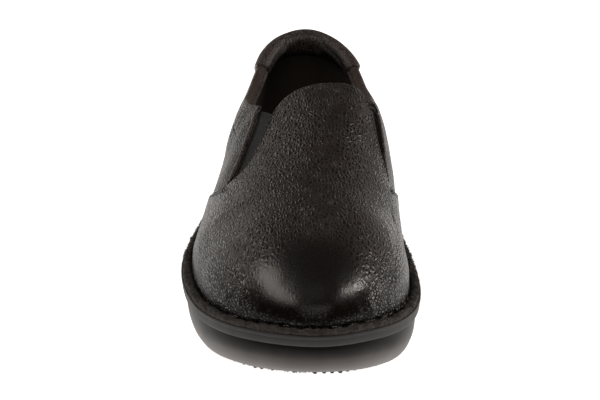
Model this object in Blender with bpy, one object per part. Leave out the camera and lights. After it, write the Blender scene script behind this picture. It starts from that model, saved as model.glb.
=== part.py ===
"""Slip-on walking shoe for the right foot, size EU 43, as separate solids.

Metres, +Z up. The toe points to -Y, the medial (big toe) side is +X, and the origin is on the
floor under the middle of the rim's plan. "Along" is the distance back from the toe tip of the rim.
"""

import math

import bpy
import numpy as np

MM = 0.001
GAP = 0.3 * MM  # clearance between pieces that meet

# Driving sizes
LENGTH = 300 * MM  # rim, toe tip to heel
BALL_WIDTH = 112.5 * MM  # rim, across the ball of the foot
RIM_THICK = 5.2 * MM
LEATHER = 1.8 * MM  # upper's wall, leather and lining together
VAMP_STEP = 1.0 * MM  # how far the vamp stands proud of the quarters it laps
COLLAR_PAD = 5.5 * MM  # wall at the padded top line
COLLAR_PAD_DEPTH = 26 * MM  # how far down the padding reaches
COLLAR_PAD_FRONT = 24 * MM  # how far back from the gores it reaches its full thickness
GORE_THICK = 1.4 * MM
GORE_LAP = 5 * MM  # elastic hidden behind the leather on each side
GORE_CLEAR = 0.45 * MM  # behind the leather's inner face
WELT_HEIGHT = 2.6 * MM
WELT_CREVICE = 1.1 * MM  # shadow gap between welt and upper
WELT_MARGIN = 0.7 * MM  # rim left bare outside the welt
INSOLE_THICK = 4.5 * MM
INSOLE_CUP = 2.5 * MM  # how far the footbed's edge rises
CUFF_THICK = 1.2 * MM
TREAD_DEPTH = 2 * MM
TREAD_GROOVE = 3 * MM
TREAD_PITCH = 10.5 * MM
TREAD_BOW = 9 * MM  # how far a groove bows towards the toe

# Mesh fineness
STATIONS = 34  # pairs of points along a plan outline
VAMP_COLUMNS = 40
QUARTER_COLUMNS = 36
LOWER_ROWS = 6
UPPER_ROWS = 7
CURVE_SAMPLES = 2000

# Plan of the rim, from the toe tip down the lateral side and back up the medial one
RIM_PLAN = (
    # place, along in mm, across in mm (medial is positive)
    ("toe tip", 0, 7),
    ("lateral toe", 8.5, -17),
    ("lateral fourth toe", 24, -33.5),
    ("lateral little toe", 48, -46.5),
    ("lateral ball", 105, -56.7),
    ("lateral waist front", 148, -53.4),
    ("lateral waist", 190, -46.5),
    ("lateral heel", 248, -39.5),
    ("lateral heel corner", 285, -26),
    ("heel", 300, 2.5),
    ("medial heel corner", 285, 31),
    ("medial heel", 248, 43.5),
    ("medial waist", 192, 46),
    ("medial arch front", 148, 50.5),
    ("medial ball", 95, 55.3),
    ("medial big toe", 48, 52),
    ("medial second toe", 22, 40.5),
    ("medial toe", 7, 25),
)

# Side view of the sole, and the ledge it leaves outside the upper
SOLE_PROFILE = (
    # along, tread height, rim underside height, ledge from the rim's edge to the upper, all in mm
    (0, 16, 26.7, 6.4),
    (12, 10.6, 25.2, 6.3),
    (24, 5.5, 23.7, 6.3),
    (36, 1.8, 22.7, 6.3),
    (52, 0, 21.5, 6.3),
    (90, 0, 20.2, 6.2),
    (128, 0, 20.7, 5.6),
    (165, 5, 23, 4.6),
    (185, 5, 25, 4.2),
    (207, 0, 27.1, 4.2),
    (250, 0, 30.2, 4.2),
    (278, 0, 31.7, 4.2),
    (300, 6, 32.2, 4.2),
)
TOE_ROLL = 0.0095 / MM  # how fast the tread lifts towards the sides in front of the ball
TOE_ROLL_ACROSS = 7 * MM
TOE_ROLL_ALONG = (60 * MM, 110 * MM)  # in full up to here, and gone here

# Side of the outsole from the rim down to the tread
OUTSOLE_WALL = (
    # inset from the rim's edge in mm, share of the outsole's height
    (2.8, 1.0),
    (2.35, 0.8),
    (2.7, 0.55),
    (4.2, 0.3),
    (6.6, 0.12),
    (9.6, 0.03),
    (12.8, 0.0),
)

# Edge of the rim: a moulded lip above a slightly set back lower band
RIM_EDGE = (
    # inset from the rim's edge in mm, share of the rim's thickness
    (1.2, 0.0),
    (0.45, 0.1),
    (0.3, 0.62),
    (0.0, 0.68),
    (0.0, 0.92),
    (0.5, 1.0),
)

# The last: its ridge line, how square each side's section is, and how far each side bulges
LAST = (
    # along, ridge across, ridge height, then squareness and bulge, lateral and medial each; lengths in mm
    (0, 6, 52, 2.6, 2.6, 0.0, 0.0),
    (40, 6, 60, 2.4, 2.5, 0.0, 0.0),
    (95, 8, 69, 2.0, 2.2, 0.0, 0.0),
    (130, 12, 79, 1.8, 2.3, 0.0, 1.2),
    (165, 15, 91.5, 1.9, 2.8, 0.2, 3.4),
    (187, 16, 97.5, 2.0, 2.9, 0.5, 4.2),
    (215, 10, 99, 2.2, 2.7, 1.2, 3.4),
    (250, 4, 105, 1.9, 2.3, 1.4, 1.8),
    (300, 2, 126, 2.6, 2.6, 2.2, 2.2),
)
TOE_SQUARENESS = 2.7
HEEL_SQUARENESS = 2.7
TOE_FAN_ALONG = 95 * MM  # sections in front of this one fan round the toe
HEEL_FAN_ALONG = 252 * MM  # sections behind this one fan round the heel
BULGE_HEIGHT = 22 * MM  # above the foot line

# Edge of the vamp in plan: up the lateral gore, round the throat and down the medial gore
VAMP_EDGE = (
    # along, across, in mm
    (130.3, -31.5),
    (132, -26.5),
    (138.5, -21.8),
    (152, -16.9),
    (166, -13),
    (173.5, -9.3),
    (178, -4.3),
    (180.3, 3),
    (181, 11),
    (181, 18),
    (180.3, 24),
    (178.5, 28),
    (174.5, 31),
    (168, 32.7),
    (158, 34.3),
    (148, 36.4),
    (138.5, 39.2),
    (130, 41.2),
)

# Top line of the quarters
COLLAR = (
    # along, lateral height, medial height, in mm
    (186, 84, 84),
    (205, 80.5, 81.5),
    (226, 79, 80),
    (248, 80.5, 82),
    (265, 86.5, 86),
    (280, 93.3, 92),
    (296, 100.3, 100.3),
)

# Where the gores and the vamp's wings end, on each side
SEAMS = (
    # side, gore foot along, its height and its width, wing end along, top of the gore along on the vamp
    # and on the quarter, upward bow of the quarter's edge, in mm
    ("lateral", 128, 57, 4, 188, 168, 188, 1),
    ("medial", 127, 57, 4, 188, 169, 182, 2),
)
BELT_TOE_HEIGHT = 17 * MM  # above the foot line, where side wall turns into vamp top
BELT_HEEL_HEIGHT = 27 * MM

# Padded patch round the top of the heel
CUFF_FRONT_ALONG = 266 * MM
CUFF_LEAN = 0.3  # share of its length lost at its lower edge, as its front ends lean back
CUFF_COLUMNS = 22
CUFF_CLEAR = 0.5 * MM  # over the leather
CUFF_ROWS_OUTSIDE = 4  # rows of the upper that it covers below the top line
CUFF_ROWS_INSIDE = 2

# Looks of the pieces
FINISHES = (
    # name, colour as linear red, green and blue, roughness
    ("black leather", (0.022, 0.019, 0.018), 0.45),
    ("black elastic", (0.011, 0.011, 0.010), 0.9),
    ("rough welt", (0.030, 0.027, 0.025), 0.9),
    ("midsole rubber", (0.036, 0.031, 0.028), 0.6),
    ("outsole rubber", (0.030, 0.026, 0.023), 0.4),
    ("dark lining", (0.020, 0.017, 0.016), 0.8),
)


def y_of(along):
    """Y of a place that many metres behind the toe tip."""
    return np.asarray(along, float) - LENGTH / 2


def column(table, index):
    """One column of a table in metres."""
    return np.array([row[index] for row in table], float) * MM


def ease(x):
    """0 to 1, level at both ends."""
    x = np.clip(x, 0, 1)
    return x * x * (3 - 2 * x)


def smooth(xs, ys, x):
    """Monotone cubic through the points (xs, ys), so a level stretch stays level."""
    xs, ys = np.asarray(xs, float), np.asarray(ys, float)
    step = np.diff(xs)
    slope = np.diff(ys) / step
    before, after = slope[:-1], slope[1:]
    inner = np.where(before * after > 0, 2 * before * after / (before + after + 1e-30), 0)
    tangent = np.concatenate([[slope[0]], inner, [slope[-1]]])
    x = np.clip(x, xs[0], xs[-1])
    i = np.clip(np.searchsorted(xs, x) - 1, 0, len(step) - 1)
    t = (x - xs[i]) / step[i]
    return (
        ys[i] * (1 + 2 * t) * (1 - t) ** 2
        + ys[i + 1] * t * t * (3 - 2 * t)
        + step[i] * (tangent[i] * t * (1 - t) ** 2 - tangent[i + 1] * t * t * (1 - t))
    )


def smooth_loop(points, samples):
    """Closed cubic spline through points, spaced by chord length."""
    points = np.asarray(points, float)
    count = len(points)
    chord = np.linalg.norm(np.roll(points, -1, axis=0) - points, axis=1) ** 0.5
    knots = np.concatenate([[0], np.cumsum(chord)])
    before = np.roll(chord, 1)
    rise = (np.roll(points, -1, axis=0) - points) / chord[:, None]
    system = np.zeros((count, count))
    for i in range(count):
        system[i, i - 1] = chord[i]
        system[i, i] = 2 * (before[i] + chord[i])
        system[i, (i + 1) % count] = before[i]
    wanted = 3 * (chord[:, None] * np.roll(rise, 1, axis=0) + before[:, None] * rise)
    tangent = np.linalg.solve(system, wanted)
    place = np.linspace(0, knots[-1], samples, endpoint=False)
    i = np.searchsorted(knots, place, side="right") - 1
    t = ((place - knots[i]) / chord[i])[:, None]
    j = (i + 1) % count
    h = chord[i][:, None]
    return (
        points[i] * (1 + 2 * t) * (1 - t) ** 2
        + points[j] * t * t * (3 - 2 * t)
        + h * (tangent[i] * t * (1 - t) ** 2 - tangent[j] * t * t * (1 - t))
    )


class Plan:
    """The rim's outline in plan.

    A place on it is c: 0 at the toe tip, 0.5 at the heel, 1 at the toe again, lateral side first.
    """

    def __init__(self):
        raw = smooth_loop(np.column_stack([column(RIM_PLAN, 2), column(RIM_PLAN, 1)]), CURVE_SAMPLES)
        low, high = raw.min(0), raw.max(0)
        points = (raw - (low + high) / 2) * np.array([BALL_WIDTH, LENGTH]) / (high - low)
        points = np.roll(points, -int(points[:, 1].argmin()), axis=0)
        heel = int(points[:, 1].argmax())
        steps = np.linalg.norm(np.diff(points, axis=0, append=points[:1]), axis=1)
        travel = np.concatenate([[0], np.cumsum(steps)])
        front = travel[: heel + 1] / travel[heel] / 2
        back = 0.5 + (travel[heel:] - travel[heel]) / (travel[-1] - travel[heel]) / 2
        self.c = np.concatenate([front, back[1:]])
        self.points = np.vstack([points, points[:1]])
        ahead = np.roll(points, -1, axis=0) - np.roll(points, 1, axis=0)
        inward = np.column_stack([-ahead[:, 1], ahead[:, 0]])
        inward /= np.linalg.norm(inward, axis=1)[:, None]
        inward *= np.sign(-(inward * points).sum(1).mean())
        self.inward = np.vstack([inward, inward[:1]])

    def at(self, c, inset=0.0, ledge=0.0):
        """Points of the outline moved inwards by inset and by a share of the ledge."""
        c = np.asarray(c, float) % 1
        moved = self.points + self.inward * (inset + ledge * ledge_width(self.points[:, 1]))[:, None]
        return np.column_stack([np.interp(c, self.c, moved[:, 0]), np.interp(c, self.c, moved[:, 1])])

    def foot(self, c):
        """Points of the upper's foot line."""
        return self.at(c, ledge=1.0)

    def place(self, y, side, ledge=0.0):
        """c of the point at y on that side of the outline or, with a ledge of 1, of the foot line."""
        c = np.linspace(0, 0.5, CURVE_SAMPLES) if side == "lateral" else np.linspace(1, 0.5, CURVE_SAMPLES)
        return np.interp(y, self.at(c, ledge=ledge)[:, 1], c)

    def stations(self):
        """c of pairs of points at the same y, the lateral half first, closer together at toe and heel."""
        share = (1 - np.cos(np.pi * np.arange(STATIONS + 1) / STATIONS)) / 2
        y = (share - 0.5) * LENGTH
        lateral, medial = self.place(y, "lateral"), self.place(y, "medial")
        return np.concatenate([lateral, medial[-2:0:-1]])


def tread_height(x, y):
    """Height of the outsole's underside, which rolls up round the toe."""
    start, end = y_of(TOE_ROLL_ALONG)
    roll = TOE_ROLL * (x - TOE_ROLL_ACROSS) ** 2 * ease((end - y) / (end - start))
    return smooth(y_of(column(SOLE_PROFILE, 0)), column(SOLE_PROFILE, 1), y - roll)


def rim_under(y):
    return smooth(y_of(column(SOLE_PROFILE, 0)), column(SOLE_PROFILE, 2), y)


def ledge_width(y):
    return smooth(y_of(column(SOLE_PROFILE, 0)), column(SOLE_PROFILE, 3), y)


def rim_top(y):
    return rim_under(y) + RIM_THICK


def last_column(index, y, scale=MM):
    """A column of the last's table at y."""
    values = np.array([row[index] for row in LAST], float) * scale
    return smooth(y_of(column(LAST, 0)), values, y)


PLAN = Plan()


class Last:
    """The outer face of the quarters, carried on as if the ankle and the gores were covered.

    A place is (c, r): c on the foot line, and r from 1 at the foot line to 0 on the ridge.
    """

    def __init__(self):
        self.toe_y = float(y_of(TOE_FAN_ALONG))
        self.heel_y = float(y_of(HEEL_FAN_ALONG))

    def frame(self, c):
        """Foot line points, the ridge points they lean to, and each place's squareness and bulge."""
        foot = PLAN.foot(c)
        y = np.clip(foot[:, 1], self.toe_y, self.heel_y)
        ridge = np.column_stack([last_column(1, y), y])
        lateral = np.asarray(c) % 1 < 0.5
        square = np.where(lateral, last_column(3, y, 1), last_column(4, y, 1))
        reach = foot - ridge
        turn = np.abs(reach[:, 1]) / np.linalg.norm(reach, axis=1)
        end = np.where(foot[:, 1] < 0, TOE_SQUARENESS, HEEL_SQUARENESS)
        square = square + (end - square) * turn**2
        bulge = np.where(lateral, last_column(5, foot[:, 1]), last_column(6, foot[:, 1]))
        return foot, ridge, square, bulge

    def height(self, c, r):
        foot, ridge, square, _ = self.frame(c)
        y = ridge[:, 1] + r * (foot[:, 1] - ridge[:, 1])
        low = rim_top(foot[:, 1]) + GAP
        return low + (last_column(2, y) - low) * (1 - np.clip(r, 0, 1) ** square) ** (1 / square)

    def at(self, c, r):
        """Points of the surface."""
        c, r = np.asarray(c, float), np.asarray(r, float)
        foot, ridge, _, bulge = self.frame(c)
        z = self.height(c, r)
        rise = (z - rim_top(foot[:, 1]) - GAP) / BULGE_HEIGHT
        out = (foot - ridge) / np.linalg.norm(foot - ridge, axis=1)[:, None]
        flat = ridge + (foot - ridge) * r[:, None] + out * (bulge * rise * np.exp(1 - rise))[:, None]
        return np.column_stack([flat, z])

    def normal(self, c, r):
        """Unit normals of the surface."""
        step = 1e-4
        along = self.at(c + step, r) - self.at(c - step, r)
        up = self.at(c, np.maximum(r - step, 0)) - self.at(c, np.minimum(r + step, 1))
        normal = np.cross(up, along)
        return normal / np.linalg.norm(normal, axis=1)[:, None]

    def reach_of(self, c, z):
        """r of the places c at height z, by halving."""
        low, high = np.zeros(len(c)), np.ones(len(c))
        for _ in range(40):
            middle = (low + high) / 2
            above = self.height(c, middle) > z
            low, high = np.where(above, middle, low), np.where(above, high, middle)
        return (low + high) / 2

    def plan_of(self, c, r):
        """Where a place would be in plan without the bulge."""
        foot, ridge, _, _ = self.frame(c)
        return ridge + (foot - ridge) * r[:, None]

    def place_of(self, plan):
        """(c, r) of points in plan that lie on the vamp."""
        plan = np.asarray(plan, float)
        y = np.maximum(plan[:, 1], self.toe_y)
        ridge = np.column_stack([last_column(1, y), y])
        lateral = plan[:, 0] < ridge[:, 0]
        side_c = np.where(
            lateral, PLAN.place(plan[:, 1], "lateral", 1), PLAN.place(plan[:, 1], "medial", 1)
        )
        dense = np.linspace(-0.25, 0.25, CURVE_SAMPLES)
        foot = PLAN.foot(dense)
        centre = np.array([last_column(1, self.toe_y), self.toe_y])
        bearing = np.arctan2(centre[0] - foot[:, 0], centre[1] - foot[:, 1])
        front = foot[:, 1] < self.toe_y
        fan_c = np.interp(
            np.arctan2(centre[0] - plan[:, 0], centre[1] - plan[:, 1]), bearing[front], dense[front]
        )
        c = np.where(plan[:, 1] < self.toe_y, fan_c, side_c)
        foot, ridge, _, _ = self.frame(c)
        r = np.linalg.norm(plan - ridge, axis=1) / np.linalg.norm(foot - ridge, axis=1)
        return c, r


SHOE_LAST = Last()


def between(start, end, count):
    """count + 1 evenly spaced values."""
    return start + (end - start) * np.arange(count + 1) / count


def along_curve(points, count):
    """count + 1 points evenly spaced along a smooth curve through points."""
    points = np.asarray(points, float)
    knots = np.concatenate([[0], np.cumsum(np.linalg.norm(np.diff(points, axis=0), axis=1))])
    dense = np.linspace(0, knots[-1], CURVE_SAMPLES)
    curve = np.column_stack([smooth(knots, points[:, k], dense) for k in range(points.shape[1])])
    travel = np.concatenate([[0], np.cumsum(np.linalg.norm(np.diff(curve, axis=0), axis=1))])
    wanted = between(0, travel[-1], count)
    return np.column_stack([np.interp(wanted, travel, curve[:, k]) for k in range(points.shape[1])])


def seam(side):
    """The seam row of one side as a dict in metres."""
    row = next(r for r in SEAMS if r[0] == side)
    names = "gore_along gore_height gore_width wing_along throat_along corner_along quarter_bow"
    return {name: value * MM for name, value in zip(names.split(), row[1:])}


def foot_place(along, side):
    """c of the foot line at that distance from the toe."""
    return float(PLAN.place(y_of(along), side, 1))


def collar_height(c):
    """Height of the top line over the foot line place c."""
    y = PLAN.foot(c)[:, 1]
    along = y_of(column(COLLAR, 0))
    lateral, medial = smooth(along, column(COLLAR, 1), y), smooth(along, column(COLLAR, 2), y)
    return np.where(np.asarray(c) % 1 < 0.5, lateral, medial)


def lower_band(foot_c, belt_c, belt_z, rows):
    """Places from the foot line up to the belt, a row at a time."""
    foot_z = rim_top(PLAN.foot(foot_c)[:, 1]) + GAP
    for share in between(0, 1, rows):
        c = foot_c + (belt_c - foot_c) * share
        z = foot_z + (belt_z - foot_z) * share
        yield c, SHOE_LAST.reach_of(c, z) if share else np.ones(len(c))


def normals(grid):
    """Unit normals of a grid of points, rows by columns."""
    normal = np.cross(np.gradient(grid, axis=1), np.gradient(grid, axis=0))
    return normal / np.maximum(np.linalg.norm(normal, axis=2), 1e-12)[:, :, None]


def wall_solid(name, outer, inner, present=None, wraps=False):
    """One closed wall between two grids of points, rows by columns, left open where cells aren't present."""
    rows, columns = outer.shape[:2]
    cells_across = columns if wraps else columns - 1
    if present is None:
        present = np.ones((rows - 1, cells_across), bool)
    layer = rows * columns

    def number(side, r, c):
        return side * layer + r * columns + c % columns

    def there(r, c):
        if not 0 <= r < rows - 1 or (not wraps and not 0 <= c < cells_across):
            return False
        return present[r, c % cells_across]

    faces = []
    for r in range(rows - 1):
        for c in range(cells_across):
            if not present[r, c]:
                continue
            corners = [(r, c), (r, c + 1), (r + 1, c + 1), (r + 1, c)]
            faces.append([number(0, *p) for p in corners])
            faces.append([number(1, *p) for p in reversed(corners)])
            neighbours = [(r - 1, c), (r, c + 1), (r + 1, c), (r, c - 1)]
            for k, other in enumerate(neighbours):
                if not there(*other):
                    a, b = corners[k], corners[(k + 1) % 4]
                    faces.append([number(0, *b), number(0, *a), number(1, *a), number(1, *b)])
    points = np.concatenate([outer.reshape(-1, 3), inner.reshape(-1, 3)])
    return solid(name, points, faces)


def solid(name, points, faces):
    """An object from points and faces, without the points that no face uses."""
    used = sorted({i for face in faces for i in face})
    renumber = {old: new for new, old in enumerate(used)}
    mesh = bpy.data.meshes.new(name)
    mesh.from_pydata(
        [tuple(points[i]) for i in used], [], [[renumber[i] for i in face] for face in faces]
    )
    mesh.validate()
    mesh.shade_smooth()
    mesh.set_sharp_from_angle(angle=math.radians(40))
    made = bpy.data.objects.new(name, mesh)
    bpy.context.scene.collection.objects.link(made)
    return made


def plate_solid(name, rings):
    """A solid from rings of plan stations: the first ring closes the top, the last one the underside."""
    rings = np.asarray(rings)
    count, around = rings.shape[:2]
    points = rings.reshape(-1, 3)
    faces = []
    for k in range(count - 1):
        for i in range(around):
            j = (i + 1) % around
            faces.append([k * around + j, (k + 1) * around + j, (k + 1) * around + i, k * around + i])
    for k, turned in ((0, True), (count - 1, False)):
        for i in range(around // 2):
            face = [i, i + 1, (around - i - 1) % around, (around - i) % around]
            face = [k * around + v for v in dict.fromkeys(face)]
            faces.append(face[::-1] if turned else face)
    return solid(name, points, faces)


def ring(c, height, inset=0.0, ledge=0.0):
    """Points round the outline moved inwards, with height a function of x and y."""
    flat = PLAN.at(c, inset, ledge)
    return np.column_stack([flat, height(*flat.T)])


def make_outsole():
    c = PLAN.stations()
    rings = []
    for inset, share in OUTSOLE_WALL:

        def height(x, y, share=share):
            return tread_height(x, y) + share * (rim_under(y) - GAP - tread_height(x, y))

        rings.append(ring(c, height, inset * MM))
    outsole = plate_solid("outsole", rings)
    cut = outsole.modifiers.new("tread grooves", "BOOLEAN")
    cut.operation = "DIFFERENCE"
    cut.object = make_groove_cutter()
    return outsole


def groove_stations():
    """Distances from the toe of the tread's cross grooves, on the two flat spots."""
    level = [row[0] * MM for row in SOLE_PROFILE if row[1] == 0]
    forefoot = [a for a in level if a < LENGTH / 2]
    heel = [a for a in level if a > LENGTH / 2]
    found = []
    for start, end in ((forefoot[0], forefoot[-1]), (heel[0], heel[-1])):
        count = int((end - start - TREAD_BOW) // TREAD_PITCH)
        first = start + TREAD_BOW + (end - start - TREAD_BOW - count * TREAD_PITCH) / 2
        found.extend(first + k * TREAD_PITCH for k in range(count + 1))
    return found


def make_groove_cutter():
    """Bowed bars that cut the tread, in one hidden mesh."""
    across = between(-BALL_WIDTH * 0.6, BALL_WIDTH * 0.6, 8)
    bow = TREAD_BOW * (1 - (across / across[-1]) ** 2)
    points, faces = [], []
    for along in groove_stations():
        start = len(points)
        y = y_of(along) - bow
        for x, middle in zip(across, y):
            for side, z in ((-1, -TREAD_DEPTH), (1, -TREAD_DEPTH), (1, TREAD_DEPTH), (-1, TREAD_DEPTH)):
                points.append((x, middle + side * TREAD_GROOVE / 2, z))
        for k in range(len(across) - 1):
            a, b = start + 4 * k, start + 4 * (k + 1)
            faces.extend([a + m, b + m, b + (m + 1) % 4, a + (m + 1) % 4] for m in range(4))
        faces.append([start, start + 1, start + 2, start + 3])
        faces.append([start + 4 * (len(across) - 1) + m for m in (3, 2, 1, 0)])
    cutter = solid("tread_cutter", np.array(points), [face[::-1] for face in faces])
    cutter.hide_render = True
    cutter.display_type = "WIRE"
    return cutter


def make_midsole():
    c = PLAN.stations()
    rings = []
    for inset, share in reversed(RIM_EDGE):

        def height(x, y, share=share):
            return rim_under(y) + share * RIM_THICK

        rings.append(ring(c, height, inset * MM))
    return plate_solid("midsole", rings)


def make_insole():
    """Footbed with a raised edge, lying on the midsole inside the upper."""
    c = PLAN.stations()
    edge = LEATHER + 2 * GAP
    profile = (
        # extra inset, height above the midsole
        (13 * MM, INSOLE_THICK),
        (6 * MM, INSOLE_THICK + INSOLE_CUP * 0.35),
        (2.4 * MM, INSOLE_THICK + INSOLE_CUP),
        (1.5 * MM, INSOLE_THICK + INSOLE_CUP * 0.8),
        (0.6 * MM, GAP + 1 * MM),
        (1.0 * MM, GAP),
    )
    rings = [ring(c, lambda x, y, up=up: rim_top(y) + up, edge + inset, 1) for inset, up in profile]
    return plate_solid("insole", rings)


def make_welt():
    """Strip on the rim's ledge, rounded on top, all round the upper's foot."""
    c = PLAN.stations()
    crevice = VAMP_STEP + WELT_CREVICE
    profile = (
        # share of the width outwards, share of the height
        (0.0, 0.0),
        (0.0, 0.55),
        (0.2, 0.92),
        (0.5, 1.0),
        (0.82, 0.85),
        (1.0, 0.5),
        (1.0, 0.0),
    )
    rings = []
    for out, up in profile:
        inset = WELT_MARGIN * out - crevice * (1 - out)
        rings.append(ring(c, lambda x, y, up=up: rim_top(y) + GAP + up * WELT_HEIGHT, inset, 1 - out))
    points = np.array(rings).reshape(-1, 3)
    around, count = len(c), len(profile)
    faces = []
    for k in range(count):
        for i in range(around):
            j, m = (i + 1) % around, (k + 1) % count
            faces.append([k * around + i, k * around + j, m * around + j, m * around + i])
    return solid("welt", points, faces)


def arch(share):
    """A bow's height along an edge: none at its ends and most a third of the way up."""
    return 6.75 * share * (1 - share) ** 2


def vamp_edge(count):
    """count + 1 points along the vamp's edge in plan."""
    return along_curve(np.column_stack([column(VAMP_EDGE, 1), y_of(column(VAMP_EDGE, 0))]), count)


class UpperGrid:
    """The upper's rows and columns on the last, from the foot line to the top edge.

    Columns run from the lateral gore round the toe to the medial gore (the vamp), then over the medial
    gore, round the heel, and back over the lateral gore (the quarters).
    """

    def __init__(self):
        self.lateral, self.medial = seam("lateral"), seam("medial")
        self.vamp = VAMP_COLUMNS + 1
        self.columns = self.vamp + QUARTER_COLUMNS + 1
        self.vamp_turn = between(-1, 1, VAMP_COLUMNS)  # lateral edge to medial edge
        self.quarter_turn = between(-1, 1, QUARTER_COLUMNS)  # medial edge to lateral edge
        self.set_belt()
        places = list(lower_band(self.foot_c, self.belt_c, self.belt_z, LOWER_ROWS))
        self.belt_row = len(places) - 1
        for vamp, quarter in zip(self.vamp_rows(), self.quarter_rows()):
            places.append([np.concatenate(pair) for pair in zip(vamp, quarter)])
        self.c = np.array([c for c, _ in places])
        self.r = np.array([r for _, r in places])
        self.grid = np.array([SHOE_LAST.at(c, r) for c, r in places])
        self.normal = np.array([SHOE_LAST.normal(c, r) for c, r in places])
        self.outer, self.inner = self.wall()

    def both(self, name):
        """Foot line places of one of the seam table's distances, lateral and medial."""
        return foot_place(self.lateral[name], "lateral"), foot_place(self.medial[name], "medial")

    def set_belt(self):
        """Foot line and belt places of every column. The belt passes the foot of both gores."""
        lateral, medial = self.lateral, self.medial
        wing_l, wing_m = self.both("wing_along")
        gore_l, gore_m = self.both("gore_along")
        lap = 1.5 * VAMP_STEP / (2 * LENGTH)
        width_l, width_m = lateral["gore_width"] / (2 * LENGTH), medial["gore_width"] / (2 * LENGTH)
        vamp_belt = between(gore_l, gore_m - 1, VAMP_COLUMNS)
        quarter_belt = between(gore_m - width_m, gore_l + width_l, QUARTER_COLUMNS)
        vamp_foot = between(wing_l, wing_m - 1, VAMP_COLUMNS)
        quarter_foot = between(wing_m - lap, wing_l + lap, QUARTER_COLUMNS)
        self.foot_c = np.concatenate([vamp_foot, quarter_foot])
        self.belt_c = np.concatenate([vamp_belt, quarter_belt])
        gore_z = np.where(self.belt_c % 1 < 0.5, lateral["gore_height"], medial["gore_height"])
        toe_z = rim_top(PLAN.foot(vamp_belt)[:, 1]) + BELT_TOE_HEIGHT
        heel_z = rim_top(PLAN.foot(quarter_belt)[:, 1]) + BELT_HEEL_HEIGHT
        low = np.concatenate([toe_z, heel_z])
        turn = np.concatenate([np.abs(self.vamp_turn) ** 3, self.quarter_turn**4])
        self.belt_z = low + (gore_z - low) * turn

    def edge_shares(self, length, radius):
        """Shares of the upper band for its rows: even, then closer where the top edge rounds."""
        start = 1 - radius / length
        shares = [start * k / UPPER_ROWS for k in range(1, UPPER_ROWS + 1)]
        return shares + [1 - 0.35 * radius / length, np.ones_like(length)]

    def vamp_rows(self):
        """Places of the vamp's rows above the belt, on lines that are straight in plan."""
        c, z = self.belt_c[: self.vamp], self.belt_z[: self.vamp]
        belt = SHOE_LAST.plan_of(c, SHOE_LAST.reach_of(c, z))
        chord = vamp_edge(VAMP_COLUMNS) - belt
        length = np.linalg.norm(chord, axis=1)
        for share in self.edge_shares(length, (LEATHER + VAMP_STEP) / 2):
            yield SHOE_LAST.place_of(belt + chord * share[:, None])

    def quarter_rows(self):
        """Places of the quarters' rows above the belt."""
        c, z = self.belt_c[self.vamp :], self.belt_z[self.vamp :]
        lateral, medial = self.both("corner_along")
        top_c = between(medial, lateral, QUARTER_COLUMNS)
        top_z = collar_height(top_c)
        turn = self.quarter_turn
        bow = np.where(turn < 0, self.medial["quarter_bow"], self.lateral["quarter_bow"])
        bow = bow * np.clip(4 * np.abs(turn) - 3, 0, 1) ** 2
        length = np.abs(top_z - z) + np.abs(top_c - c) * LENGTH
        for share in self.edge_shares(length, COLLAR_PAD / 2):
            place = c + (top_c - c) * share
            yield place, SHOE_LAST.reach_of(place, z + (top_z - z) * share + bow * arch(share))

    def on_row(self, face, row, places):
        """Points of one quarter row of a face, at those places round the foot line."""
        c = self.c[row, self.vamp :][::-1]
        points = face[row, self.vamp :][::-1]
        return np.column_stack([np.interp(places, c, points[:, k]) for k in range(3)])

    def present(self):
        """Which cells are leather: all but the two gore notches."""
        cells = np.ones((len(self.grid) - 1, self.columns), bool)
        cells[self.belt_row :, self.vamp - 1] = False
        cells[self.belt_row :, self.columns - 1] = False
        return cells

    def wall(self):
        """Outer and inner points of the leather, thicker at the padded collar, with a rounded top edge."""
        vamp = (np.arange(self.columns) < self.vamp)[None, :]
        top = self.grid[-1]
        below = np.linalg.norm(self.grid - top[None], axis=2)
        edge = top[self.vamp :]
        travel = np.concatenate([[0], np.cumsum(np.linalg.norm(np.diff(edge, axis=0), axis=1))])
        from_gore = np.minimum(travel, travel[-1] - travel)
        front = np.concatenate([np.zeros(self.vamp), ease((from_gore - 2 * GORE_LAP) / COLLAR_PAD_FRONT)])
        pad = (COLLAR_PAD - LEATHER) * ease(1 - below / COLLAR_PAD_DEPTH) * front[None, :]
        rise = np.where(vamp, VAMP_STEP, 0.0)
        depth = LEATHER + pad
        middle, half = (rise - depth) / 2, (rise + depth) / 2
        half[-2] *= 0.78
        half[-1] *= 0.3
        outer = self.grid + self.normal * (middle + half)[:, :, None]
        inner = self.grid + self.normal * (middle - half)[:, :, None]
        for face in (outer, inner):
            face[0, :, 2] = self.grid[0, :, 2]
        return outer, inner


def make_upper(upper):
    return wall_solid("upper", upper.outer, upper.inner, upper.present(), wraps=True)


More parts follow.
